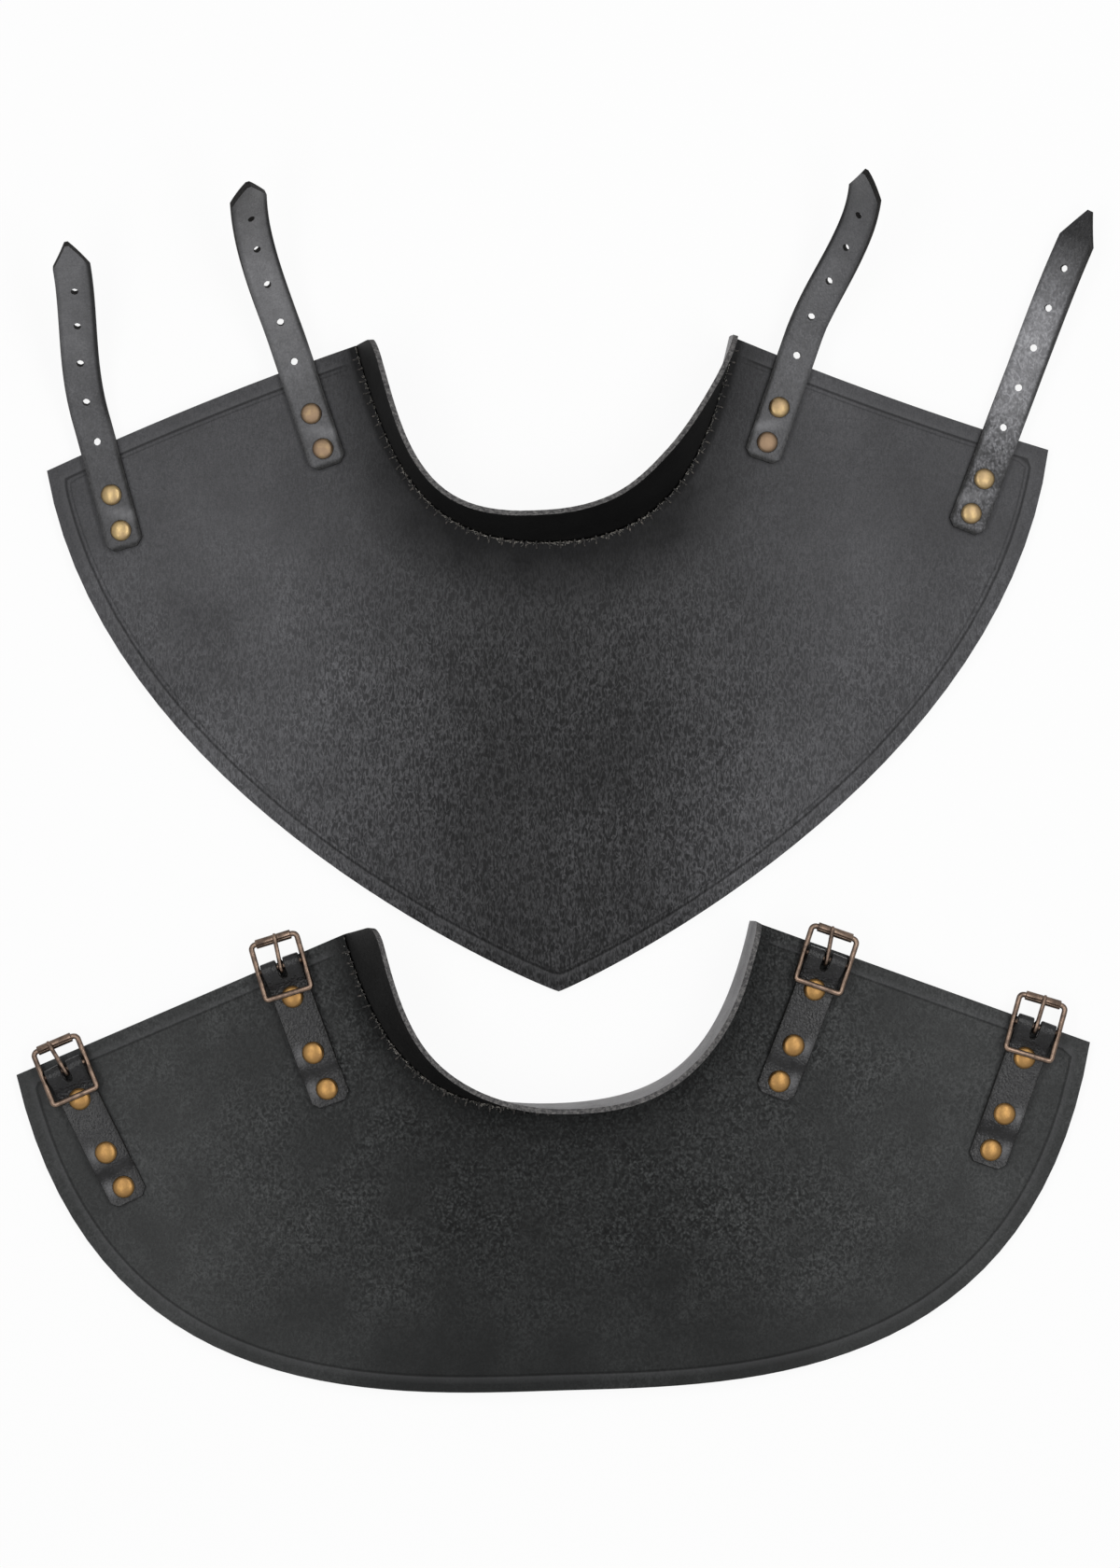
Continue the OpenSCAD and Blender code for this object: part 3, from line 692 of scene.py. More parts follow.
class Finishes:
    """All finishes of the gorget, made once."""

    def __init__(self) -> None:
        """Makes every material."""
        # Satin black plates: the front with upright creases, the back greener with rounder pebbles
        self.front = GrainHide("front waxed cowhide", crackle_tone=0.14, crackle_depth=0.03).build()
        self.back = GrainHide(
            "back waxed cowhide",
            base="#232424",
            wear_and_sheen="#393a3a",
            shade_colour="#0f1010",
            span=(0.04, 0.17),
            cell_mm=(1.4, 1.5),
            cell_tone=0.65,
            cell_depth=0.1,
            stroke_mm=(1.9, 2.6),
            stroke_tone=1.3,
            calm_y=(-0.19, -0.24),
            patch_mm=34.0,
            patch_tone=0.2,
            lively=(0.4, 1.3),
            calm_aside=0.2,
            line_mm=(7.0, 9.0),
            line_tone=(0.5, 0.0),
            seam_shade_mm=12.0,
            seam_shade_share=0.62,
        ).build()
        # Smooth collars, almost without grain, so they fall back into black, with painted light on the walls
        # at the neck's sides
        self.band = GrainHide(
            "smooth collar hide",
            base="#101010",
            wear_and_sheen="#252525",
            shade_colour="#0a0a0a",
            span=(0.05, 0.085),
            cell_tone=0.1,
            stroke_tone=0.3,
            stroke_depth=0.05,
            wax=(0.5, 0.62),
            shine=0.06,
        ).build()
        # Straps, with a painted sheen where they bend and painted sparkle on the fourth
        self.straps = {
            number: GrainHide(
                f"waxed strap hide {number}",
                base=lay.tones[0],
                wear_and_sheen=lay.tones[1],
                fade=Fade.ALONG,
                span=lay.turn_at,
                cell_mm=(1.1, 1.3),
                cell_tone=0.1 + 1.2 * lay.speck,
                cell_depth=0.08,
                stroke_mm=(2.4, 4.0),
                stroke_tone=0.14 + 2.4 * lay.speck,
                stroke_depth=0.05 + 0.2 * lay.speck,
                calm_y=NOWHERE,
                wax=(0.28, 0.44),
                patch_mm=11.0,
                shine=0.2,
                far=lay.tones[2],
                speck=lay.speck,
            ).build()
            for number, lay in zip(SIDES, STRAP_LAYS)
        }
        # Chapes, glazed and wrinkled over the bars
        self.glazed = GrainHide(
            "glazed chape hide",
            base="#1e1e1f",
            wear_and_sheen="#1e1e1f",
            calm_y=NOWHERE,
            cell_mm=(1.1, 1.1),
            cell_tone=0.15,
            cell_depth=0.12,
            stroke_mm=(2.2, 2.8),
            stroke_tone=0.5,
            stroke_depth=0.12,
            wax=(0.2, 0.36),
            patch_mm=7.0,
            patch_tone=0.35,
            shine=0.24,
            speck=0.2,
        ).build()
        # The hides' backs and edges, and the thread with the fibres that fray beside it
        self.flesh = FleshSide("flesh side").build()
        self.edge = CutEdge("dyed cut edge", base="#141414", fibre="#4e4b49", amount=0.5).build()
        self.rough_edge = CutEdge("rough cut edge", base="#434243", fibre="#969492", amount=0.7).build()
        self.thread = WaxedThread("waxed linen thread", base="#1c1b1b", fibre="#a09890", amount=0.5).build()
        self.fluff = WaxedThread("frayed fibres", base="#77746f", fibre="#dad5cc", amount=0.9).build()
        # Caps: the front's worn to copper and gold, the back's still golden
        worn = AgedBrass(
            "worn brass caps", metal="#9d8860", film="#7e6a56", film_share=0.5, dent_mm=2.8, dent_depth=0.14
        )
        golden = AgedBrass("golden brass caps", metal="#8f6f42", film="#765839", film_share=0.4)
        self.caps = {"front": worn.build(), "back": golden.build()}
        # Buckles, brown all over under their film
        self.wire = AgedBrass(
            "antique brass wire", metal="#716054", film="#473d37", film_share=1.0,
            polish=0.3, dull=0.44, dent_depth=0.03,
        ).build()


# Shaping


def finish_mesh(bm: BMesh, name: str, matrix: Matrix, materials: Sequence[Material]) -> Object:
    """Makes an object of a bmesh in millimetres, placed on the table in metres.

    Args:
        bm: the shape, which is freed.
        name: the piece's name.
        matrix: the frame that the shape is modelled in, in millimetres.
        materials: the piece's material slots.

    Returns:
        The piece, at the origin, with its place in its mesh.
    """
    bmesh.ops.transform(bm, matrix=Matrix.Scale(MM, 4) @ matrix, verts=bm.verts)
    for face in bm.faces:
        face.smooth = True
    mesh = bpy.data.meshes.new(name)
    bm.to_mesh(mesh)
    bm.free()
    for material in materials:
        mesh.materials.append(material)
    made = bpy.data.objects.new(name, mesh)
    bpy.context.scene.collection.objects.link(made)
    return made


def keep(mesh: Mesh, name: str, values: Iterable[float]) -> None:
    """Stores one number for each vertex, for the materials to read."""
    attribute = mesh.attributes.new(name, "FLOAT", "POINT")
    attribute.data.foreach_set("value", np.fromiter(values, np.float32, len(mesh.vertices)))


def slab(bm: BMesh, thickness: float) -> set[int]:
    """Makes a solid of a flat sheet, half of its thickness to each side.

    Args:
        bm: the sheet, which gets the layers' material slots.
        thickness: in millimetres.

    Returns:
        The numbers of the top's vertices.
    """
    for face in bm.faces:
        face.material_index = Layer.FLESH.value
    under = bm.verts[:]
    made = bmesh.ops.extrude_face_region(bm, geom=bm.faces[:], use_keep_orig=True)["geom"]
    upper = {v for v in made if isinstance(v, BMVert)}
    for face in bm.faces:
        raised = sum(v in upper for v in face.verts)
        if raised == len(face.verts):
            face.material_index = Layer.GRAIN.value
        elif raised:
            face.material_index = Layer.CUT.value
    bmesh.ops.translate(bm, verts=list(upper), vec=(0, 0, thickness / 2))
    bmesh.ops.translate(bm, verts=under, vec=(0, 0, -thickness / 2))
    bmesh.ops.recalc_face_normals(bm, faces=bm.faces)
    bm.verts.index_update()
    return {v.index for v in upper}


def round_edges(piece: Object, bevel: float, segments: int = 3) -> None:
    """Rounds a hide's cut edges.

    Args:
        piece: the hide.
        bevel: the width of the rounding, in millimetres.
        segments: the number of faces across the rounding.
    """
    rounding = piece.modifiers.new("worn edges", "BEVEL")
    rounding.width = bevel * MM
    rounding.segments = segments
    rounding.limit_method = "ANGLE"
    rounding.angle_limit = math.radians(50)
    rounding.harden_normals = True


def thicken(piece: Object, thickness: float, bevel: float, segments: int = 3) -> None:
    """Gives a sheet its thickness, away from its normals, and rounds its edges.

    Args:
        piece: the sheet, with three material slots: grain, flesh and cut edge.
        thickness: in millimetres.
        bevel: the width of the rounding, in millimetres.
        segments: the number of faces across the rounding.
    """
    solid = piece.modifiers.new("thickness", "SOLIDIFY")
    solid.thickness = thickness * MM
    solid.offset = -1
    solid.material_offset = Layer.FLESH.value
    solid.material_offset_rim = Layer.CUT.value
    round_edges(piece, bevel, segments)


def evenly(start: float, stop: float, step: float) -> list[float]:
    """Spaces lines evenly over a stretch.

    Args:
        start: the stretch's start, which gets the first line.
        stop: its end, which gets none.
        step: about how far apart they are.

    Returns:
        The lines' places.
    """
    count = max(1, round((stop - start) / step))
    return [start + (stop - start) * k / count for k in range(count)]


def graded_grid(columns: Sequence[float], rows: Sequence[float]) -> BMesh:
    """A flat grid with its lines at the given places.

    Args:
        columns: places across, in millimetres.
        rows: places along.

    Returns:
        The grid, with X across and Y along.
    """
    bm = bmesh.new()
    bmesh.ops.create_grid(bm, x_segments=len(columns) - 1, y_segments=len(rows) - 1, size=1.0)
    for vert in bm.verts:
        column = round((vert.co.x + 1) / 2 * (len(columns) - 1))
        row = round((vert.co.y + 1) / 2 * (len(rows) - 1))
        vert.co = (columns[column], rows[row], 0)
    return bm


def punch(bm: BMesh, x: float, y: float, radius: float) -> None:
    """Cuts a round hole at a crossing of a flat grid's lines.

    Args:
        bm: the grid.
        x: the hole's place across, in millimetres.
        y: its place along.
        radius: its radius.
    """
    centre = Vector((x, y, 0))
    vert = min(bm.verts, key=lambda v: (v.co - centre).length)
    made = bmesh.ops.bevel(
        bm, geom=[vert], offset=radius, offset_type="OFFSET", segments=4,
        profile=0.5, material=-1, affect="VERTICES",
    )
    ring = {v for v in made["verts"] if (v.co - centre).length < radius * 1.2}
    for v in ring:
        v.co = centre + (v.co - centre).normalized() * radius
    inside = [f for f in bm.faces if all(v in ring for v in f.verts)]
    bmesh.ops.delete(bm, geom=inside, context="FACES")


def along(bm: BMesh, frame_at: Callable[[float], Matrix]) -> None:
    """Bends a flat strip along a path: each point's Y picks the frame that carries it."""
    for vert in bm.verts:
        vert.co = frame_at(vert.co.y) @ Vector((vert.co.x, 0, vert.co.z))


def rod(
    bm: BMesh,
    path: Sequence[Vector],
    radii: Sequence[float],
    sides: int = 10,
    closed: bool = False,
    up: Vector = Vector((0, 0, 1)),
) -> list[BMVert]:
    """Draws a round bar along a path by extruding one ring from point to point.

    Args:
        bm: takes the bar.
        path: the bar's middle line.
        radii: its radius at each point.
        sides: faces round it.
        closed: whether its end joins its start.
        up: a direction that the bar never runs in, which keeps its rings from twisting.

    Returns:
        The bar's new vertices.
    """
    count = len(path)
    rings: list[list[BMVert]] = []
    edges: list[BMEdge] = []
    for k, point in enumerate(path):
        before = path[k - 1] if k or closed else path[0]
        after = path[(k + 1) % count] if k < count - 1 or closed else path[k]
        ahead = (after - before).normalized()
        side = ahead.cross(up).normalized()
        top = side.cross(ahead)
        pose = Matrix.Translation(point) @ Matrix((side, top, ahead)).transposed().to_4x4()
        if k == 0:
            ring = bmesh.ops.create_circle(bm, segments=sides, radius=1.0)["verts"]
            local = [v.co.copy() for v in ring]
            edges = list({e for v in ring for e in v.link_edges})
        else:
            grown = bmesh.ops.extrude_edge_only(bm, edges=edges)["geom"]
            pairs = {v.co.copy().freeze(): v for v in grown if isinstance(v, BMVert)}
            ring = [pairs[v.co.copy().freeze()] for v in rings[-1]]
            edges = [e for e in grown if isinstance(e, BMEdge) and all(v in ring for v in e.verts)]
        for v, place in zip(ring, local):
            v.co = pose @ (place * radii[k])
        rings.append(ring)
    ends = (rings[0], rings[-1])
    if closed:
        loops = [e for ring in ends for v in ring for e in v.link_edges if e.other_vert(v) in ring]
        bmesh.ops.bridge_loops(bm, edges=list(set(loops)))
    else:
        for ring in ends:
            bmesh.ops.contextual_create(
                bm, geom=list({e for v in ring for e in v.link_edges if e.other_vert(v) in ring})
            )
    return [v for ring in rings for v in ring]


def revolve(bm: BMesh, profile: Sequence[tuple[float, float]], steps: int) -> list[BMVert]:
    """Turns a profile of radius and height about Z, and closes it at the axis.

    Args:
        bm: takes the shape.
        profile: radius and height of each corner, from bottom to top, with both ends on the axis.
        steps: faces round the axis.

    Returns:
        The shape's vertices.
    """
    old = set(bm.verts)
    verts = [bm.verts.new((r, 0, z)) for r, z in profile]
    edges = [bm.edges.new(pair) for pair in zip(verts, verts[1:])]
    bmesh.ops.spin(
        bm, geom=verts + edges, cent=(0, 0, 0), axis=(0, 0, 1), dvec=(0, 0, 0),
        angle=math.tau, steps=steps, use_merge=True, use_duplicate=False,
    )
    made = [v for v in bm.verts if v not in old]
    bmesh.ops.remove_doubles(bm, verts=made, dist=1e-4)
    return [v for v in bm.verts if v not in old]


# The two halves

# Steps of the outlines: the neck's for each side, the shoulder's, and the lower edge's for each side
NECK_STEPS = 40
SHOULDER_STEPS = 12
EDGE_STEPS = 30


@dataclass(frozen=True)
class HalfShape:
    """One half's outline and cone, in millimetres in its own frame, and its place on the table.

    The grips are the Bezier handles of the curves as shares of their reach, the bows are how far the
    shoulder edges bulge, lean is how far the collar's rim leans in at five places from left to right,
    and rim is the distance from the cone's axis at which the plate touches the table.
    """

    name: str
    wing: float
    drop: float
    edge_grips: tuple[tuple[float, float], tuple[float, float]]
    neck_w: float
    neck_rise: float
    neck_drop: float
    neck_grips: tuple[float, float, float]
    bows: tuple[float, float]
    axis_y: float
    at: tuple[float, float]
    turned: float
    lean: tuple[float, ...]
    rim: float
    thickness: float = 3.5
    slope: float = 4.5

    def neck(self, count: int) -> list[Vector]:
        """Draws the neck curve from the left corner to the right.

        Args:
            count: the number of steps on each side of the middle.

        Returns:
            The curve's points.
        """
        low = -self.neck_drop
        near, high, wide = self.neck_grips
        handles = (
            Vector((0, low)),
            Vector((self.neck_w * wide, low)),
            Vector((self.neck_w * (1 - near), self.neck_rise - (self.neck_rise - low) * high)),
            Vector((self.neck_w, self.neck_rise)),
        )
        right = [cubic(handles, k / count) for k in range(count + 1)]
        return [Vector((-p.x, p.y)) for p in reversed(right[1:])] + right

    def shoulder(self, side: int) -> list[Vector]:
        """Draws a shoulder edge from the neck corner to the wing corner.

        Args:
            side: -1 for the left shoulder, 1 for the right.

        Returns:
            The edge's points.
        """
        a, b = Vector((side * self.neck_w, self.neck_rise)), Vector((side * self.wing, 0))
        run = (b - a).normalized()
        out = Vector((run.y, -run.x)) * side
        bow = self.bows[0 if side < 0 else 1]
        middle = (a + b) / 2 - out * (2 * bow)
        shares = [k / SHOULDER_STEPS for k in range(SHOULDER_STEPS + 1)]
        return [a * (1 - t) ** 2 + middle * (2 * t * (1 - t)) + b * t**2 for t in shares]

    def lower_edge(self) -> list[Vector]:
        """Draws the outer edge from the left wing corner round the bottom to the right wing corner.

        Returns:
            The edge's points.
        """
        first, second = self.edge_grips
        handles = (
            Vector((self.wing, 0)),
            Vector((self.wing * first[0], -self.drop * first[1])),
            Vector((self.wing * second[0], -self.drop * second[1])),
            Vector((0, -self.drop)),
        )
        right = [cubic(handles, k / EDGE_STEPS) for k in range(EDGE_STEPS + 1)]
        return [Vector((-p.x, p.y)) for p in right[:-1]] + right[::-1]

    def outer(self) -> list[Vector]:
        """The whole outer edge from the left neck corner to the right, without the neck."""
        return self.shoulder(-1) + self.lower_edge()[1:-1] + self.shoulder(1)[::-1]

    def under(self, x: float, y: float) -> float:
        """Height of the plate's underside."""
        return (self.rim - math.hypot(x, y - self.axis_y)) * math.tan(math.radians(self.slope))

    def top(self, x: float, y: float) -> float:
        """Height of the plate's top."""
        return self.under(x, y) + self.thickness / math.cos(math.radians(self.slope))

    def on_table(self) -> Matrix:
        """The half's frame on the table."""
        return move(self.at[0], self.at[1], 0) @ turn("Z", self.turned)

    def seat(self, x: float, y: float, lean: float) -> Matrix:
        """Lays a frame on the plate's top.

        Args:
            x: the place across, in millimetres.
            y: the place along.
            lean: how far the frame's +Y leans from the half's, in degrees.

        Returns:
            The frame, in the half's own frame.
        """
        bearing = math.degrees(math.atan2(y - self.axis_y, x))
        tilt = turn("Z", bearing) @ turn("Y", self.slope) @ turn("Z", lean - bearing)
        return move(x, y, self.top(x, y)) @ tilt


FRONT = HalfShape(
    name="front",
    wing=214.5,
    drop=227.5,
    edge_grips=((0.898, 0.632), (0.04, 0.989)),
    neck_w=81,
    neck_rise=50.5,
    neck_drop=35.5,
    neck_grips=(0.164, 0.617, 0.652),
    bows=(1.8, -1.8),
    axis_y=(214.5**2 - 227.5**2) / (2 * 227.5),
    at=(-3.03, 138.66),
    turned=1.2,
    lean=(7.4, 5.6, 11, 11, -2),
    rim=214.871,
)
BACK = HalfShape(
    name="back",
    wing=230,
    drop=142,
    edge_grips=((0.873, 1.043), (0.318, 1)),
    neck_w=88,
    neck_rise=56,
    neck_drop=21.2,
    neck_grips=(0.17, 0.766, 0.562),
    bows=(0, 0),
    axis_y=47,
    at=(-0.63, -117.54),
    turned=1.75,
    lean=(14.3, 8, -1.5, -3, -3),
    rim=236.202,
)


@dataclass
class PlateHide:
    """A plate cut from thick hide, with a tooled line round its border.

    It swells and ripples a little, but lies flat along its rims and where a strap or chape is pressed
    on it. The tooled line stops short of the seam.
    """

    half: HalfShape
    hide: Material
    finishes: Finishes
    pressed: Sequence[Sequence[Vector]]
    cell: float = 4.0
    swell: float = 0.55
    swell_mm: float = 45.0
    ripple: float = 0.1
    ripple_mm: float = 17.0
    flat_rim: float = 30.0
    flat_strap: tuple[float, float] = (9.0, 30.0)
    untooled: tuple[float, float] = (5.0, 10.0)
    bevel: float = 0.8

    def build(self) -> None:
        half = self.half
        neck = half.neck(NECK_STEPS)
        outer = half.outer()
        bm = bmesh.new()
        bm.faces.new([bm.verts.new((p.x, p.y, 0)) for p in neck[::-1] + outer[1:-1]])
        for axis, low, high in ((0, -half.wing, half.wing), (1, -half.drop, half.neck_rise)):
            for k in range(1, int((high - low) / self.cell)):
                place, normal = Vector((0, 0, 0)), Vector((0, 0, 0))
                place[axis], normal[axis] = low + k * self.cell, 1
                sheet = bm.verts[:] + bm.edges[:] + bm.faces[:]
                bmesh.ops.bisect_plane(bm, geom=sheet, dist=1e-3, plane_co=place, plane_no=normal)
        flat = np.array([v.co[:2] for v in bm.verts])
        from_edge = distances(flat, outer)
        from_neck = distances(flat, neck)
        near_strap = np.min([distances(flat, path) for path in self.pressed], axis=0)
        for vert, edge, seam, strap in zip(bm.verts, from_edge, from_neck, near_strap):
            x, y, _ = vert.co
            free = ramp(0, self.flat_rim, min(edge, seam)) * ramp(*self.flat_strap, strap)
            swell = self.swell * noise.noise((x / self.swell_mm, y / self.swell_mm, 3.1))
            ripple = self.ripple * noise.noise((x / self.ripple_mm, y / self.ripple_mm, 8.4))
            vert.co.z = half.top(x, y) + (swell + ripple) * free
        bm.normal_update()
        if sum(f.normal.z for f in bm.faces) < 0:
            bmesh.ops.reverse_faces(bm, faces=bm.faces)
        layers = (self.hide, self.finishes.flesh, self.finishes.edge)
        piece = finish_mesh(bm, f"{half.name}_hide", half.on_table(), layers)
        keep(piece.data, "seam_mm", from_neck)
        keep(piece.data, "edge_mm", from_edge)
        keep(piece.data, "tooled", [ramp(*self.untooled, seam) for seam in from_neck])
        thicken(piece, half.thickness, self.bevel)
        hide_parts(f"{half.name}_plate")
        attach(piece, f"{half.name}_half")


@dataclass
class StandingCollar:
    """A band of hide that stands round a neck opening, leaning by its height to the power of belly."""

    half: HalfShape
    finishes: Finishes
    height: float = 39.0
    corner: float = 9.0
    thickness: float = 2.2
    seam_gap: float = 0.15
    rows: int = 14
    stations: int = 110
    corner_rows: int = 10
    neck_steps: int = 24
    belly: float = 1.3
    sway: float = 0.5
    sway_mm: float = 30.0
    rim_wave: float = 0.35
    wave_mm: float = 9.0
    bevel: float = 0.5
    path: list[Vector] = field(init=False)
    runs: list[float] = field(init=False)

    def __post_init__(self) -> None:
        """Measures the neck curve."""
        self.path = self.half.neck(self.neck_steps)
        self.runs = [0.0]
        for a, b in zip(self.path, self.path[1:]):
            self.runs.append(self.runs[-1] + (b - a).length)

    def point(self, run: float) -> Vector:
        """Finds a place on the neck curve.

        Args:
            run: the run from the curve's left end, in millimetres.

        Returns:
            The point on the curve.
        """
        run = min(max(run, 0.0), self.runs[-1])
        k = min(int(np.searchsorted(self.runs, run, "right")) - 1, len(self.path) - 2)
        share = (run - self.runs[k]) / (self.runs[k + 1] - self.runs[k])
        return self.path[k].lerp(self.path[k + 1], share)

    def inward(self, run: float) -> Vector:
        """The direction into the neck opening."""
        step = self.point(run + 1) - self.point(run - 1)
        return Vector((-step.y, step.x)).normalized()

    def lean_at(self, run: float) -> float:
        """How far the rim leans into the opening."""
        return through(self.half.lean, run / self.runs[-1])

    def wall(self, run: float, share: float, depth: float = 0.0) -> Vector:
        """A point on the collar's outside.

        Args:
            run: the place along the neck.
            share: 0 at the foot and 1 at the rim.
            depth: how far under the outside, towards the opening.

        Returns:
            The point in the half's frame.
        """
        cut = max(0.0, self.corner - min(run, self.runs[-1] - run))
        tall = self.height - self.corner + math.sqrt(max(0.0, self.corner**2 - cut**2))
        foot = self.point(run)
        out = self.seam_gap + depth + self.lean_at(run) * tall / self.height * share**self.belly
        spot = foot + self.inward(run) * out
        return Vector((spot.x, spot.y, self.half.under(foot.x, foot.y) + tall * share))

    def build(self) -> None:
        length = self.runs[-1]
        bearings = [k * math.pi / 2 / self.corner_rows for k in range(self.corner_rows)]
        bend = [self.corner * (1 - math.cos(a)) for a in bearings]
        rest = length - 2 * self.corner
        middle = [self.corner + rest * k / self.stations for k in range(self.stations + 1)]
        runs = bend + middle + [length - b for b in reversed(bend)]
        shares = [k / self.rows for k in range(self.rows + 1)]
        bm = graded_grid(runs, shares)
        for vert in bm.verts:
            run, share = vert.co.x, vert.co.y
            spot = self.wall(run, share)
            sway = noise.noise((run / self.sway_mm, share * 1.5, self.half.wing)) * self.sway
            spot += self.inward(run).to_3d() * (sway * ramp(0.1, 1, share))
            spot.z += noise.noise((run / self.wave_mm, 0, 5)) * self.rim_wave * share
            vert.co = spot
        layers = (self.finishes.band, self.finishes.flesh, self.finishes.rough_edge)
        piece = finish_mesh(bm, f"{self.half.name}_band", self.half.on_table(), layers)
        keep(piece.data, "seam_mm", [NO_SEAM] * len(piece.data.vertices))
        self.face_out(piece)
        thicken(piece, self.thickness, self.bevel, 2)
        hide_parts(f"{self.half.name}_collar")
        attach(piece, f"{self.half.name}_half")

    def face_out(self, piece: Object) -> None:
        """Turns the sheet's faces away from the opening.

        Args:
            piece: the collar's sheet.
        """
        face = piece.data.polygons[len(piece.data.polygons) // 2]
        middle = sum((v.co for v in piece.data.vertices), Vector()) / len(piece.data.vertices)
        centre = Vector((self.half.at[0] * MM, middle.y + 0.03, middle.z))
        if (face.center - centre).dot(face.normal) < 0:
            piece.data.flip_normals()


@dataclass
class SeamStitches:
    """The sewn seam between a plate and its collar, with the fibres that fray along it."""

    collar: StandingCollar
    finishes: Finishes
    pitch: float = 5.0
    thread_r: float = 0.42
    reach: float = 2.4
    tufts: int = 520
    tuft_reach: tuple[float, float] = (0.5, 1.4)
    tuft_r: tuple[float, float] = (0.08, 0.2)
    end_gap: float = 2.0

    def build(self) -> None:
        half = self.collar.half
        length = self.collar.runs[-1]
        count = int((length - self.pitch) // self.pitch)
        first = (length - (count - 1) * self.pitch) / 2
        draw = random.Random(SEED + len(half.name))
        bm = bmesh.new()
        for k in range(count):
            self.stitch(bm, first + k * self.pitch + draw.uniform(-0.5, 0.5), draw)
        thread = finish_mesh(bm, f"{half.name}_thread", half.on_table(), (self.finishes.thread,))
        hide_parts(f"{half.name}_stitching")
        self.declare(thread)
        bm = bmesh.new()
        low, high = self.end_gap, length - self.end_gap
        for k in range(self.tufts):
            # Half of the fibres lie anywhere, and half gather a little left of the middle
            run = draw.uniform(low, high) if k % 2 else draw.gauss(length * 0.46, length * 0.16)
            self.tuft(bm, min(max(run, low), high), draw)
        fibres = finish_mesh(bm, f"{half.name}_seam_fibres", half.on_table(), (self.finishes.fluff,))
        self.declare(fibres)

    def declare(self, piece: Object) -> None:
        """Gives the piece its half's body."""
        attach(piece, f"{self.collar.half.name}_half")

    def seam_point(self, run: float, out: float, lift: float) -> Vector:
        """Finds a place beside the seam.

        Args:
            run: the place along the seam, in millimetres.
            out: how far out over the plate, or up the collar where it is negative.
            lift: how far off the leather.

        Returns:
            The point, in the half's frame.
        """
        half = self.collar.half
        foot = self.collar.point(run)
        inward = self.collar.inward(run)
        if out >= 0:
            spot = foot - inward * out
            return Vector((spot.x, spot.y, half.top(spot.x, spot.y) + lift))
        rise = -out
        lean = self.collar.lean_at(run) * (rise / self.collar.height) ** self.collar.belly
        spot = foot + inward * (lean - lift)
        return Vector((spot.x, spot.y, half.top(foot.x, foot.y) + rise))

    def stitch(self, bm: BMesh, run: float, draw: random.Random) -> None:
        """Adds one stitch, from its hole in the plate over the seam into its hole in the collar.

        Args:
            bm: takes the stitch.
            run: its place along the seam.
            draw: the seam's random draws.
        """
        reach = self.reach * draw.uniform(0.85, 1.1)
        slant = draw.uniform(-0.5, 0.5)
        # Share of the slant, how far out over the plate (or up the collar) and how far off the leather
        ways = (
            (0, reach + 0.35, -0.35),
            (0, reach, 0.18),
            (0.3, reach * 0.55, 0.55),
            (0.6, 0.35, 0.95),
            (0.8, -reach * 0.45, 0.5),
            (1, -reach * 0.85, 0.12),
            (1, -reach, -0.3),
        )
        path = [self.seam_point(run + slant * share, out, lift) for share, out, lift in ways]
        sunk = self.thread_r * 0.7
        rod(bm, path, [sunk, *[self.thread_r] * 5, sunk], sides=7)

    def tuft(self, bm: BMesh, run: float, draw: random.Random) -> None:
        """Adds one frayed fibre beside the seam.

        Args:
            bm: takes the fibre.
            run: its place along the seam.
            draw: the seam's random draws.
        """
        laid = draw.random() < 0.5
        out = abs(draw.gauss(0.25, 0.2)) if laid else abs(draw.gauss(0.3, 0.5))
        start = self.seam_point(run, out, 0.12 if laid else 0.05)
        lean = Vector((draw.uniform(-1, 1), draw.uniform(-1, 1), draw.uniform(0.1, 0.7))).normalized()
        if laid:
            ahead = self.seam_point(run + 1, out, 0.12) - start
            lean = (ahead * draw.choice((-1, 1)) + lean * 0.25).normalized()
        reach = draw.uniform(*self.tuft_reach)
        curl = Vector((draw.uniform(-1, 1), draw.uniform(-1, 1), -0.3)) * 0.35 * reach
        path = [start, start + lean * reach * 0.5, start + lean * reach + curl]
        thin = draw.uniform(*self.tuft_r)
        rod(bm, path, [thin, thin, thin * 0.4], sides=4, up=Vector((0.3, 0.2, 1)))


# Straps and chapes


@dataclass(frozen=True)
class StrapLay:
    """Where one strap is riveted and how its free end lies.

    It leans and rolls by its angles in degrees. Sway grows with the run and with its square, and curl is that
    at the hinge and at the tip. The dark side is the long edge whose wall is painted dark on the strap's top
    as painted shade, -1 left or 1 right, and gold is how bright its two caps still are. Its tones are those
    of its root, middle and tip, with a painted sheen where it bends, turn_at is where along it the first
    gives way to the second, and speck is how much painted sparkle it has, which also coarsens its grain.
    """

    at: tuple[float, float]
    lean: float
    sway: tuple[float, float]
    curl: tuple[float, float]
    roll: float
    shaded_side: int
    gold: tuple[float, float]
    tones: tuple[str, str, str]
    turn_at: tuple[float, float]
    speck: float = 0.0


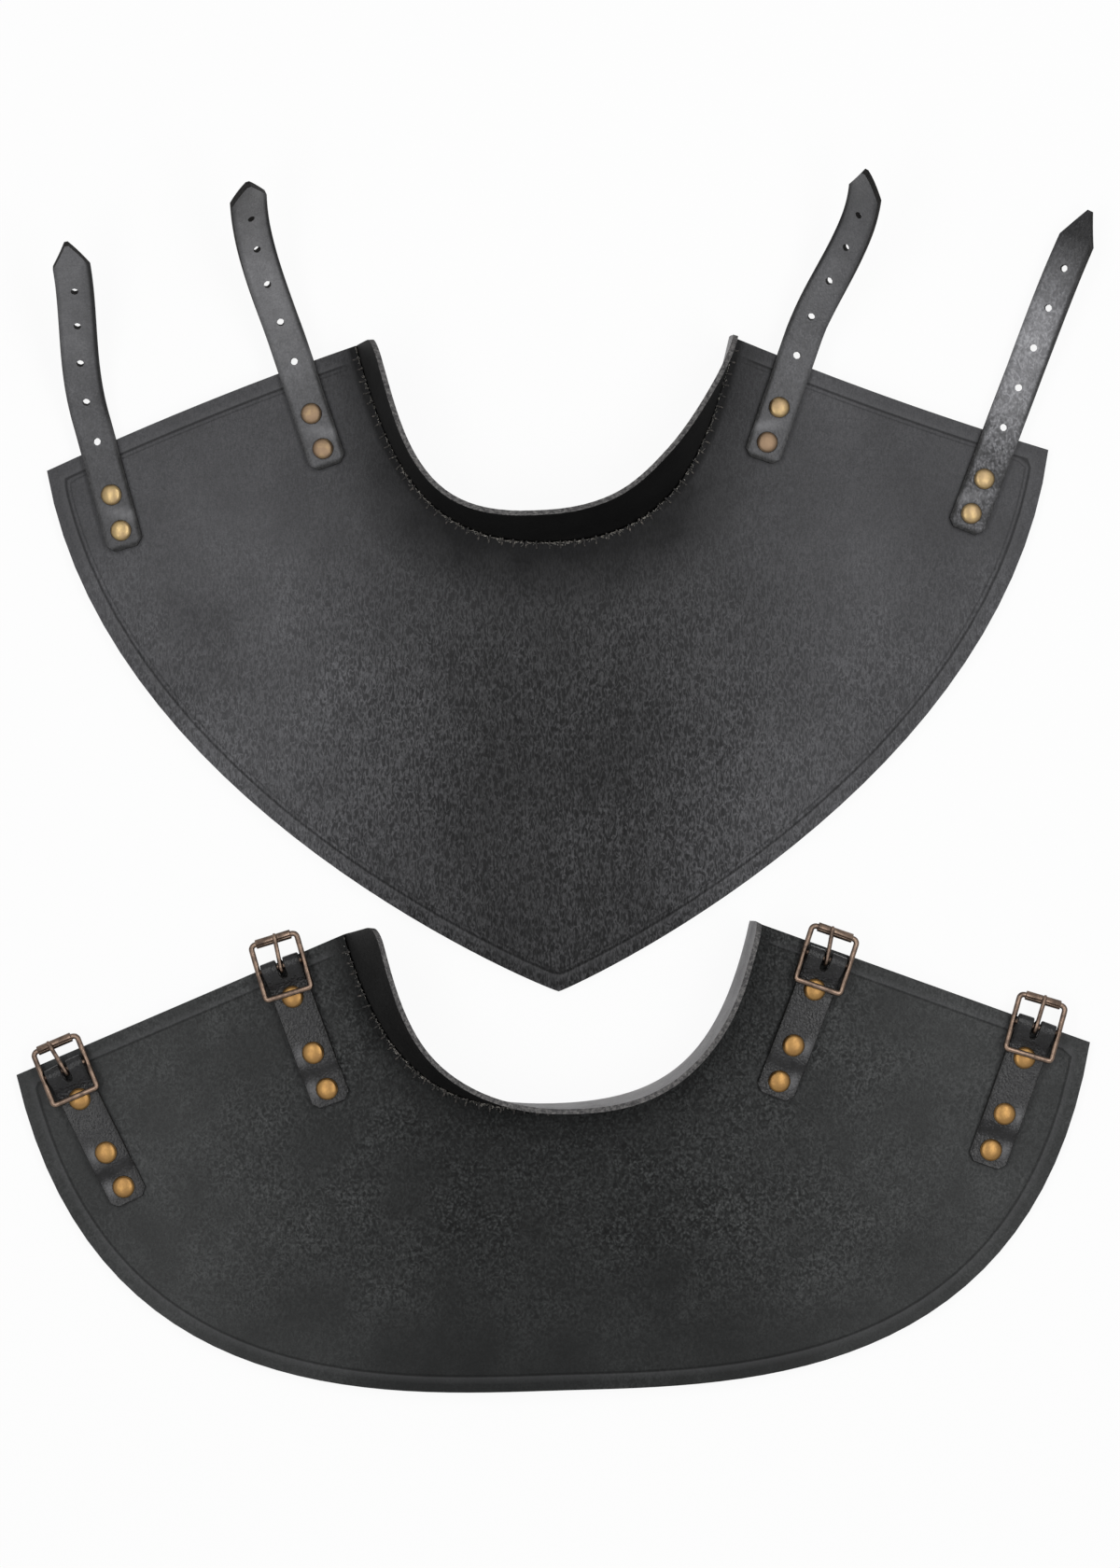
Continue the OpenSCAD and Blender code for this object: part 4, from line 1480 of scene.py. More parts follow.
STRAP_LAYS = (
    StrapLay(
        at=(-186.7, -11.0), lean=14.0, sway=(-58, 52.5), curl=(20, 51.6), roll=-2, shaded_side=0,
        gold=(0.9, 1.0), tones=("#4a4a4c", "#6a6a6c", "#6a6a6c"), turn_at=(0.3, 0.7),
    ),
    StrapLay(
        at=(-100.3, 21.7), lean=17.3, sway=(7.5, -47), curl=(15.5, 73.3), roll=-40, shaded_side=1,
        gold=(0.3, 0.25), tones=("#545456", "#757577", "#6a6a6b"), turn_at=(0.2, 0.5),
    ),
    StrapLay(
        at=(99.2, 20.2), lean=-20.2, sway=(-53.5, 90), curl=(20, 58.6), roll=52, shaded_side=-1,
        gold=(0.85, 0.0), tones=("#525254", "#646466", "#5c5c5e"), turn_at=(0.3, 0.7),
    ),
    StrapLay(
        at=(186.4, -12.0), lean=-22.0, sway=(5, -10), curl=(5, 5), roll=30, shaded_side=1,
        gold=(0.95, 0.9), tones=("#4e4e50", "#88888b", "#1d1d1e"), turn_at=(0.22, 0.45), speck=0.3,
    ),
)


@dataclass
class RivetedStrap:
    """One strap: a strip of hide with punched holes and an arrow tip, bending at its hinge."""

    number: int
    lay: StrapLay
    finishes: Finishes
    width: float = 16.0
    thickness: float = 2.8
    rivet_pitch: float = 15.8
    cap_r: float = 4.5
    root_end: float = 8.0
    first_hole: float = 23.6
    hole_pitch: float = 18.2
    hole_r: float = 1.6
    holes: int = 5
    hole_room: float = 2.6
    row_step: float = 2.2
    tip_reach: float = 27.0
    point: float = 14.0
    tip_w: float = 1.6
    clip: float = 3.0
    ease: float = 8.0
    crown: float = 0.2
    dip: float = 0.25
    wave: float = 0.18
    wave_mm: tuple[float, float] = (9.0, 14.0)
    bevel: float = 0.7
    bend_half: float = 9.0

    @property
    def low(self) -> float:
        """The root's end."""
        return -self.rivet_pitch - self.root_end

    @property
    def high(self) -> float:
        """The tip."""
        return self.hinge_y + self.tail

    @property
    def hinge_y(self) -> float:
        """The hinge's distance from the upper rivet."""
        return self.first_hole + self.hole_pitch / 2

    @property
    def tail(self) -> float:
        """The free end's length."""
        return 3.5 * self.hole_pitch + self.tip_reach

    def seat(self) -> Matrix:
        """The strap's frame on the front plate."""
        return FRONT.seat(self.lay.at[0], self.lay.at[1], self.lay.lean)

    def footprint(self) -> list[Vector]:
        """The strap's middle line where it lies on the plate."""
        return [self.seat() @ Vector((0, y, 0)) for y in (-self.rivet_pitch, self.hinge_y)]

    def heading(self, run: float) -> tuple[float, float, float]:
        """Says how the free end points.

        Args:
            run: the run from the hinge, in millimetres.

        Returns:
            Sway, curl and roll in degrees.
        """
        u = max(run, 0.0) / self.tail
        sway = self.lay.sway[0] * u + self.lay.sway[1] * u * u
        curl = self.lay.curl[0] * ramp(-self.ease, self.ease, run)
        curl += (self.lay.curl[1] - self.lay.curl[0]) * u**1.2
        return sway, curl, self.lay.roll * u

    def frames(self) -> Callable[[float], Matrix]:
        """Walks along the strap as it lies.

        Returns:
            What gives the frame at a distance from the upper rivet, in the front half's frame.
        """
        step = 1.0
        base = self.seat() @ move(0, self.hinge_y, SEAT_GAP + self.thickness / 2)
        spots = [Vector((0, -self.ease, 0))]
        for k in range(int((self.tail + self.ease) / step) + 2):
            sway, curl, _ = (math.radians(a) for a in self.heading(-self.ease + (k + 0.5) * step))
            flat = math.cos(curl)
            ahead = Vector((-math.sin(sway) * flat, math.cos(sway) * flat, math.sin(curl)))
            spots.append(spots[-1] + ahead * step)

        def frame_at(y: float) -> Matrix:
            """Places one cross line.

            Args:
                y: the distance from the upper rivet, in millimetres.

            Returns:
                The frame, in the front half's frame.
            """
            run = y - self.hinge_y
            if run <= -self.ease:
                return base @ move(0, run, 0)
            share = (run + self.ease) / step
            k = min(int(share), len(spots) - 2)
            spot = spots[k].lerp(spots[k + 1], share - k)
            sway, curl, roll = self.heading(run)
            pose = turn("Z", sway) @ turn("X", curl) @ turn("Y", -roll)
            return base @ Matrix.Translation(spot) @ pose

        return frame_at

    def rows(self) -> list[float]:
        """Spaces the strip's cross lines, with one through every hole.

        Returns:
            Their distances from the upper rivet, in millimetres.
        """
        low, shoulder = self.low, self.high - self.point
        holes = [self.first_hole + k * self.hole_pitch for k in range(self.holes)]
        before = [hole - self.hole_room for hole in holes]
        starts = [low, low + 0.8, low + 2.4, low + self.clip, *(hole + self.hole_room for hole in holes)]
        lines = holes + before + [shoulder + self.point * k / 5 for k in range(6)]
        for start, stop in zip(starts, [*starts[1:4], *before, shoulder]):
            lines += evenly(start, stop, self.row_step)
        return sorted(set(round(line, 4) for line in lines))

    def build(self) -> None:
        half = self.width / 2
        left = [-half, -half + 0.9, -half + 2.1, -2.7]
        bm = graded_grid([*left, 0, *(-x for x in reversed(left))], self.rows())
        for k in range(self.holes):
            punch(bm, 0, self.first_hole + k * self.hole_pitch, self.hole_r)
        for vert in bm.verts:
            from_root, from_tip = vert.co.y - self.low, self.high - vert.co.y
            narrow = min(
                1.0,
                (half - self.clip + min(from_root, self.clip)) / half,
                (self.tip_w / 2 + (half - self.tip_w / 2) * min(1.0, from_tip / self.point)) / half,
            )
            vert.co.x *= narrow
        top = slab(bm, self.thickness)
        kept: dict[str, list[float]] = {"seam_mm": [], "painted_shade": [], "glint": [], "along": []}
        for k, vert in enumerate(bm.verts):
            x, y, _ = vert.co
            if k in top:
                near = min(math.hypot(x, y), math.hypot(x, y + self.rivet_pitch))
                vert.co.z -= self.crown * (x / half) ** 2 + self.dip * ramp(8.5, 4.5, near)
            wave = noise.noise((y / self.wave_mm[1], x / self.wave_mm[0], self.number * 3.7))
            vert.co.z += wave * self.wave * ramp(0, 30, y)
            share = (y - self.low) / (self.high - self.low)
            for values, value in zip(kept.values(), (NO_SEAM, self.wall_shade(x, y), self.glint(x, y), share)):
                values.append(value)
        along(bm, self.frames())
        layers = (self.finishes.straps[self.number], self.finishes.flesh, self.finishes.edge)
        piece = finish_mesh(bm, f"strap_{self.number}_hide", FRONT.on_table(), layers)
        for name, values in kept.items():
            keep(piece.data, name, values)
        round_edges(piece, self.bevel)
        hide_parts(f"strap_{self.number}_root", f"strap_{self.number}_tail")
        table = Matrix.Scale(MM, 4) @ FRONT.on_table() @ self.seat()
        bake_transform(piece)

    def glint(self, x: float, y: float) -> float:
        """Shines the dip between the two caps, most towards the neck.

        Args:
            x: the place across, in millimetres.
            y: the distance from the upper rivet.

        Returns:
            The shine, from 0 to 1.
        """
        inner = x * math.copysign(1, -self.lay.at[0]) / self.width
        band = math.exp(-(((y + self.rivet_pitch / 2 + 7 * inner) / 2.4) ** 2))
        return 0.32 * band * ramp(-0.55, 0.2, inner) * ramp(0.5, 0.38, inner)

    def wall_shade(self, x: float, y: float) -> float:
        """Paints the top dark by the edges, a painted shade for the dyed wall in shade and its shadow on the
        plate: all round the root, and down one side of the free end.

        Args:
            x: the place across, in millimetres.
            y: the distance from the upper rivet.

        Returns:
            The darkness, from 0 to 1.
        """
        half = self.width / 2
        end = y - self.low
        root = ramp(self.first_hole + 12, self.first_hole - 12, y)
        inner = math.copysign(1, -self.lay.at[0])
        heavy = ramp(half - 2.4, half - 0.85, x * inner)
        light = 0.8 * ramp(half - 1.6, half - 0.4, abs(x))
        low = ramp(2.8, 0.8, end)
        shaded = self.lay.shaded_side or inner
        run = 0.9 * ramp(half - 2.6, half - 1.0, x * shaded)
        return max(root * max(heavy, light, low), (1 - root) * run, 0.6 * light)

    def rivet_frames(self) -> list[Matrix]:
        """The seats of the two caps, in the front half's frame."""
        return [self.seat() @ move(0, y, SEAT_GAP + self.thickness) for y in (0, -self.rivet_pitch)]

    def under_frames(self) -> list[Matrix]:
        """The plate's own seats under the two rivets."""
        return [own_seat(FRONT, self.seat(), y) for y in (0, -self.rivet_pitch)]


def own_seat(half: HalfShape, seat: Matrix, y: float) -> Matrix:
    """The plate's own seat at a distance along a strap or chape."""
    spot = seat @ Vector((0, y, 0))
    return half.seat(spot.x, spot.y, 0)


@dataclass(frozen=True)
class BuckleLay:
    """Where one buckle sits on the back plate and how its parts are turned."""

    at: tuple[float, float]
    lean: float
    frame_skew: float
    prong_skew: float


BUCKLE_LAYS = (
    BuckleLay((-208.5, 1.9), 24.5, -3, 9),
    BuckleLay((-114.6, 43.5), 18.5, -3, -5),
    BuckleLay((117.6, 39.4), -22.6, 1.7, 8),
    BuckleLay((206.3, 7.5), -21.4, 3, -1),
)


@dataclass
class FoldedChape:
    """A strip of hide folded round a buckle's centre bar and riveted to the back plate."""

    number: int
    lay: BuckleLay
    finishes: Finishes
    width: float = 17.0
    thickness: float = 2.0
    bar_r: float = 1.1
    bar_z: float = 5.0
    slot_w: float = 3.4
    slot_back: float = 5.6
    cap_r: float = 4.8
    rivet_ys: tuple[float, float, float] = (14.0, 39.5, 56.0)
    tail: float = 7.0
    fold_front: float = 8.0
    step: float = 5.0
    clip: float = 3.0
    row_step: float = 2.2
    bend_step: float = 1.0
    crown: float = 0.15
    wave: float = 0.08
    wave_mm: tuple[float, float] = (7.0, 8.0)
    bevel: float = 0.4

    @property
    def end(self) -> float:
        """Length from the bar to the far end."""
        return self.rivet_ys[2] + self.tail

    @property
    def stack(self) -> float:
        """Height of the two layers over the plate."""
        return SEAT_GAP + 2 * self.thickness + FOLD_GAP

    @property
    def under_end(self) -> float:
        """Where the lower layer ends."""
        return self.rivet_ys[1] + self.cap_r + 0.7

    def seat(self) -> Matrix:
        """Lays the chape on the back plate, touching at its middle.

        Returns:
            The frame, with its origin under the bar.
        """
        a = math.radians(self.lay.lean)
        middle = self.end / 2
        x = self.lay.at[0] + middle * math.sin(a)
        y = self.lay.at[1] - middle * math.cos(a)
        return BACK.seat(x, y, self.lay.lean) @ move(0, middle, 0)

    def footprint(self) -> list[Vector]:
        """The chape's middle line on the plate."""
        return [self.seat() @ Vector((0, y, 0)) for y in (0, -self.rivet_ys[2])]

    def middle_line(self) -> list[Vector]:
        """Draws the strip's middle line in side view, from the far end over the bar to the lower end.

        Returns:
            The line's points, as distance behind the bar and height.
        """
        t = self.thickness
        reach = self.bar_r + 0.5 + t / 2
        upper = Vector((-(self.rivet_ys[0] - self.cap_r - FREE_GAP), self.stack - t / 2))
        lower = Vector((-self.fold_front, SEAT_GAP + t / 2))
        bar = Vector((0, self.bar_z))

        def touch(spot: Vector, side: int) -> float:
            """Bearing of the place where a leg from spot touches the bend."""
            run = spot - bar
            return math.atan2(run.y, run.x) - side * math.acos(reach / run.length)

        above, below = touch(upper, 1) + math.tau, touch(lower, -1)
        low = SEAT_GAP + t / 2
        line = [Vector((-self.end, low)), Vector((-self.under_end - self.step, low))]
        for k in range(1, 12):
            drop = (1 + math.cos(math.pi * (1 - k / 12))) / 2
            line.append(Vector((-self.under_end - self.step * (1 - k / 12), low + (t + FOLD_GAP) * drop)))
        line += [Vector((-self.under_end, self.stack - t / 2)), upper]
        for k in range(25):
            bearing = above + (below - above) * k / 24
            line.append(bar + Vector((math.cos(bearing), math.sin(bearing))) * reach)
        return line + [lower, Vector((-self.under_end, low))]

    def frames(self) -> tuple[Callable[[float], Matrix], Callable[[float], float], float]:
        """Walks along the strip.

        Returns:
            The frame at each run, the run at each place on the bend, and the length.
        """
        line = self.middle_line()
        runs = [0.0]
        for a, b in zip(line, line[1:]):
            runs.append(runs[-1] + (b - a).length)
        fine = np.arange(0, runs[-1], 0.4)
        ys = np.interp(fine, runs, [p.x for p in line])
        zs = np.interp(fine, runs, [p.y for p in line])
        soft = np.ones(5) / 5
        ys[2:-2], zs[2:-2] = np.convolve(ys, soft, "valid"), np.convolve(zs, soft, "valid")
        seat = self.seat()

        def frame_at(run: float) -> Matrix:
            """Places one cross line.

            Args:
                run: the run from the far end, in millimetres.

            Returns:
                The frame, in the back half's frame.
            """
            y, z = np.interp(run, fine, ys), np.interp(run, fine, zs)
            dy = np.interp(run + 0.5, fine, ys) - np.interp(run - 0.5, fine, ys)
            dz = np.interp(run + 0.5, fine, zs) - np.interp(run - 0.5, fine, zs)
            return seat @ move(0, float(y), float(z)) @ turn("X", math.degrees(math.atan2(dz, dy)))

        def run_at(behind: float, upper: bool) -> float:
            """Finds a place on the bend.

            Args:
                behind: the distance behind the bar, in millimetres.
                upper: whether it is above the bar.

            Returns:
                The run from the far end.
            """
            top = int(np.argmax(ys))
            part = slice(0, top) if upper else slice(top, None)
            k = int(np.argmin(np.abs(ys[part] + behind)))
            return float(fine[part][k])

        return frame_at, run_at, runs[-1]

    def build(self) -> None:
        frame_at, run_at, length = self.frames()
        half, slot = self.width / 2, self.slot_w / 2
        slot_a = run_at(self.slot_back - slot, True)
        slot_b = run_at(self.slot_back - slot, False)
        left = [-half, -half + 0.8, -half + 1.8, -5, -3.2, -slot, -slot * 0.7]
        marks = [0.0, self.clip, slot_a - 3.2, slot_a, slot_b, slot_b + 3.2, length]
        rows: list[float] = []
        for a, b in zip(marks, marks[1:]):
            rows += evenly(a, b, self.bend_step if a == slot_a else self.row_step)
        bm = graded_grid([*left, 0, *(-x for x in reversed(left))], rows + [length])
        middles = ((f, f.calc_center_median()) for f in bm.faces)
        gone = [f for f, middle in middles if abs(middle.x) < slot - 0.01 and slot_a < middle.y < slot_b]
        bmesh.ops.delete(bm, geom=gone, context="FACES")
        for vert in bm.verts:
            # The slot's two ends are round
            bow = math.sqrt(max(0.0, slot**2 - vert.co.x**2)) if abs(vert.co.x) < slot - 0.01 else 0.0
            for end, way in ((slot_a, -1), (slot_b, 1)):
                if abs(vert.co.y - end) < 0.01:
                    vert.co.y += bow * way
            vert.co.x *= min(1.0, (half - self.clip + min(vert.co.y, self.clip)) / half)
        top = slab(bm, self.thickness)
        kept: dict[str, list[float]] = {"seam_mm": [], "painted_shade": [], "glint": []}
        for k, vert in enumerate(bm.verts):
            x, y, _ = vert.co
            if k in top:
                vert.co.z -= self.crown * (x / half) ** 2
            wave = noise.noise((y / self.wave_mm[1], x / self.wave_mm[0], self.number * 5.3))
            vert.co.z += wave * self.wave
            # The top is painted dark by the walls, a painted shade, most on the side of the neck, and a
            # painted highlight shines on the far side behind the caps
            inner = x * math.copysign(1, -self.lay.at[0])
            shaded = max(0.6 * ramp(half - 1.2, half - 0.2, abs(x)), 0.9 * ramp(half - 1.8, half - 0.6, inner))
            outer = math.exp(-(((inner + 0.66 * half) / 1.9) ** 2))
            behind = max(math.exp(-(((y - self.end + spot - 1.5) / 3.4) ** 2)) for spot in self.rivet_ys[1:])
            for values, value in zip(kept.values(), (NO_SEAM, shaded, 0.3 * outer * behind)):
                values.append(value)
        along(bm, frame_at)
        layers = (self.finishes.glazed, self.finishes.flesh, self.finishes.edge)
        piece = finish_mesh(bm, f"chape_{self.number}_hide", BACK.on_table(), layers)
        for name, values in kept.items():
            keep(piece.data, name, values)
        round_edges(piece, self.bevel, 2)
        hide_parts(f"chape_{self.number}")
        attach(piece, "back_half")

    def rivet_frames(self) -> list[Matrix]:
        """The seats of the three caps, in the back half's frame."""
        heights = (self.stack, self.stack, SEAT_GAP + self.thickness)
        return [self.seat() @ move(0, -y, z) for y, z in zip(self.rivet_ys, heights)]

    def under_frames(self) -> list[Matrix]:
        """The plate's own seats under the three rivets."""
        return [own_seat(BACK, self.seat(), -y) for y in self.rivet_ys]


@dataclass
class CapRivets:
    """A row of brass rivets: domed caps on posts, and flat caps under the plate."""

    name: str
    half: HalfShape
    caps: Sequence[Matrix]
    unders: Sequence[Matrix]
    posts: Sequence[float]
    finishes: Finishes
    radius: float
    height: float = 1.8
    post_r: float = 1.5
    under_r: float = 4.0
    under_h: float = 1.1
    rim_h: float = 0.42
    tip: float = 2.0
    faces: int = 32
    gold: Sequence[float] = (0.85, 0.85, 0.85)

    def cap_profile(self, post: float) -> list[tuple[float, float]]:
        """Draws half of the rivet in side view.

        Args:
            post: the post's length, in millimetres.

        Returns:
            Radius and height of each corner, from the post's foot to the top of the dome.
        """
        lip = self.radius - 0.45
        bearings = [math.radians(a) for a in range(84, 0, -12)]
        dome = [(lip * math.sin(a), self.rim_h + (self.height - self.rim_h) * math.cos(a)) for a in bearings]
        return [
            (0, -post),
            (self.post_r, -post),
            (self.post_r, 0.02),
            (self.radius - 0.3, 0.02),
            (self.radius, 0.16),
            (self.radius - 0.06, 0.36),
            (lip + 0.02, self.rim_h - 0.02),
            *dome,
            (0, self.height),
        ]

    def under_profile(self) -> list[tuple[float, float]]:
        """Draws half of the flat cap in side view, hanging from its seat.

        Returns:
            Radius and height of each corner, from bottom to top.
        """
        low, r = -self.half.thickness - SEAT_GAP / 2 - self.under_h, self.under_r
        high = low + self.under_h
        return [(0, low), (r - 0.5, low), (r - 0.15, low + 0.15), (r, low + 0.5), (r, high), (0, high)]

    def build(self) -> None:
        draw = random.Random(SEED + sum(map(ord, self.name)))
        bm = bmesh.new()
        for frame, post in zip(self.caps, self.posts):
            verts = revolve(bm, self.cap_profile(post), self.faces)
            # Each cap was struck a little askew, and is lifted so that its rim stays clear of the leather
            pitch, roll = (draw.uniform(-self.tip, self.tip) for _ in range(2))
            askew = turn("X", pitch) @ turn("Y", roll)
            bmesh.ops.transform(bm, matrix=frame @ move(0, 0, 0.04) @ askew, verts=verts)
        self.declare(bm, f"{self.name}_caps", f"{self.name}_rivets", [f.inverted() for f in self.caps])
        bm = bmesh.new()
        for frame in self.unders:
            bmesh.ops.transform(bm, matrix=frame, verts=revolve(bm, self.under_profile(), self.faces))
        self.declare(bm, f"{self.name}_washers", f"{self.name}_rivet_backs", [])

    def declare(self, bm: BMesh, name: str, node_name: str, seats: list[Matrix]) -> None:
        """Finishes one mesh of caps, with grime kept round each lip.

        Args:
            bm: the caps.
            name: the piece's name.
            node_name: the node that it replaces.
            seats: what brings a point into each cap's frame, or nothing for clean caps.
        """
        bmesh.ops.recalc_face_normals(bm, faces=bm.faces)
        dirt: list[float] = []
        dull: list[float] = []
        for vert in bm.verts:
            local = [(s @ vert.co).xy.length for s in seats] or [0.0]
            nearest = local.index(min(local))
            dirt.append(ramp(self.radius - 0.4, self.radius - 0.1, local[nearest]) if seats else 0.0)
            dull.append(1 - self.gold[nearest])
        piece = finish_mesh(bm, name, self.half.on_table(), (self.finishes.caps[self.half.name],))
        keep(piece.data, "dirt", dirt)
        keep(piece.data, "tarnish", dull)
        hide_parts(node_name)
        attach(piece, f"{self.half.name}_half")


@dataclass
class RollerBuckle:
    """A double-bar roller buckle of bent brass wire with a rolled sleeve and a wire prong."""

    number: int
    chape: FoldedChape
    finishes: Finishes
    inner_w: float = 18.0
    roller_y: float = 12.1
    heel_y: float = 12.5
    wire: float = 2.4
    bar: float = 2.2
    corner_r: float = 2.0
    heel_r: float = 1.35
    let_in: float = 0.35
    sleeve: float = 4.0
    sleeve_l: float = 15.6
    sleeve_ease: float = 0.18
    slit: float = 0.5
    slit_turn: float = 35.0
    prong: float = 1.9
    prong_over: float = 2.2
    prong_gap: float = 0.1
    cap_h: float = 1.8

    def frame(self) -> Matrix:
        """Rests the heel on the first rivet's cap, in the back half's frame.

        Returns:
            The frame, with its origin in the centre bar.
        """
        rise = self.chape.stack + self.cap_h + self.wire / 2 + REST_GAP - self.chape.bar_z
        tilt = math.degrees(math.asin(rise / self.heel_y))
        lay = self.chape.lay
        return self.chape.seat() @ move(0, 0, self.chape.bar_z) @ turn("Z", lay.frame_skew) @ turn("X", -tilt)

    def build(self) -> None:
        self.wire_frame()
        self.centre_bar()
        self.roller()
        self.tongue()

    def declare(
        self, bm: BMesh, part: str, body: str, frame: Matrix, wear: Callable[[Vector], float]
    ) -> None:
        """Finishes one part with its wear, hides the node that it replaces and gives it its body.

        Args:
            bm: the part.
            part: its node's name, without the buckle's number.
            body: its body's name, likewise.
            frame: its frame, in the back half's frame.
            wear: how bright a point is rubbed.
        """
        bmesh.ops.recalc_face_normals(bm, faces=bm.faces)
        wear_and_sheen = [wear(v.co) for v in bm.verts]
        brass = (self.finishes.wire,)
        piece = finish_mesh(bm, f"buckle_{self.number}_{part}_brass", BACK.on_table() @ frame, brass)
        keep(piece.data, "wear", wear_and_sheen)
        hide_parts(f"buckle_{self.number}_{part}")
        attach(piece, f"buckle_{self.number}_{body}")

    def wire_frame(self) -> None:
        """The bent wire frame: round corners at the roller, tight ones at the heel."""
        x, top, low = self.inner_w / 2 + self.wire / 2, self.roller_y, -self.heel_y
        path: list[Vector] = []
        for cx, cy, r, first in (
            (x, top, self.corner_r, 0),
            (-x, top, self.corner_r, 90),
            (-x, low, self.heel_r, 180),
            (x, low, self.heel_r, 270),
        ):
            middle = Vector((cx - math.copysign(r, cx), cy - math.copysign(r, cy), 0))
            for a in (math.radians(first + 15 * k) for k in range(7)):
                path.append(middle + Vector((math.cos(a), math.sin(a), 0)) * r)
        dense: list[Vector] = []
        for a, b in zip(path, path[1:] + path[:1]):
            length = max((b - a).length, 1e-6)
            dense += [a.lerp(b, run / length) for run in evenly(0, length, 2.0)]
        draw = random.Random(SEED + self.number)
        radii = [self.wire / 2 * draw.uniform(0.97, 1.02) for _ in dense]
        bm = bmesh.new()
        rod(bm, dense, radii, sides=14, closed=True)

        def wear(p: Vector) -> float:
            """Bright on the heel's corners and along the tops."""
            heel = ramp(3.2, 0.4, (Vector((abs(p.x), p.y, 0)) - Vector((x, low, 0))).length)
            return max(0.85 * heel, 0.18 * ramp(0.3, 1.1, p.z))

        self.declare(bm, "frame", "wire", self.frame(), wear)

    def centre_bar(self) -> None:
        """The centre bar, let into the side rails."""
        half = self.inner_w / 2 + self.let_in
        bm = bmesh.new()
        path = [Vector((half * k / 4, 0, 0)) for k in range(-4, 5)]
        rod(bm, path, [self.bar / 2] * len(path), sides=14)
        self.declare(bm, "bar", "wire", self.frame(), lambda p: 0.0)

    def roller(self) -> None:
        """The sleeve: sheet rolled round the frame's bar, with its two edges left a slit apart."""
        bore, out, half = self.wire / 2 + RUN_GAP, self.sleeve / 2, self.sleeve_l / 2
        gap, ease = math.degrees(self.slit / out), self.sleeve_ease
        right = [(half, bore), (half, out - ease), (half - ease, out)]
        ring = [(-half, bore), *right, *((-x, z) for x, z in reversed(right[1:]))]
        bm = bmesh.new()
        verts = [bm.verts.new((x, 0, z)) for x, z in ring]
        edges = [bm.edges.new(pair) for pair in zip(verts, verts[1:] + verts[:1])]
        bmesh.ops.spin(
            bm, geom=verts + edges, cent=(0, 0, 0), axis=(1, 0, 0), dvec=(0, 0, 0),
            angle=math.radians(360 - gap), steps=36, use_merge=False, use_duplicate=False,
        )
        bmesh.ops.holes_fill(bm, edges=[e for e in bm.edges if e.is_boundary], sides=0)
        bmesh.ops.transform(bm, matrix=turn("X", self.slit_turn), verts=bm.verts)
        frame = self.frame() @ move(0, self.roller_y, 0)
        self.declare(bm, "roller", "sleeve", frame, lambda p: 0.12 * ramp(1.2, 1.9, p.z))

    def tongue(self) -> None:
        """The prong: an open eye round the centre bar and a run over the roller, bent down at its tip."""
        eye = self.bar / 2 + RUN_GAP + self.prong / 2
        over = self.sleeve / 2 + self.prong / 2 + self.prong_gap
        rise = math.degrees(math.atan2(over - eye, self.roller_y))
        run = self.roller_y + self.prong_over - self.prong / 2
        bearings = [math.radians(a) for a in range(360, 90, -15)]
        path = [Vector((0, math.cos(a), math.sin(a))) * eye for a in bearings]
        path += [Vector((0, run * k / 8, eye)) for k in range(8)]
        path += [Vector((0, run, eye - 0.1)), Vector((0, run + 0.7, eye - 0.28))]
        radii = [self.prong / 2] * (len(path) - 2) + [self.prong / 2 * 0.92, self.prong / 2 * 0.55]
        bm = bmesh.new()
        rod(bm, path, radii, sides=12, up=Vector((1, 0, 0)))
        frame = self.frame() @ turn("Z", self.chape.lay.prong_skew) @ turn("X", rise)
        self.declare(bm, "prong", "tongue", frame, lambda p: 0.6 * ramp(run - 1.5, run + 0.5, p.y))


# The studio


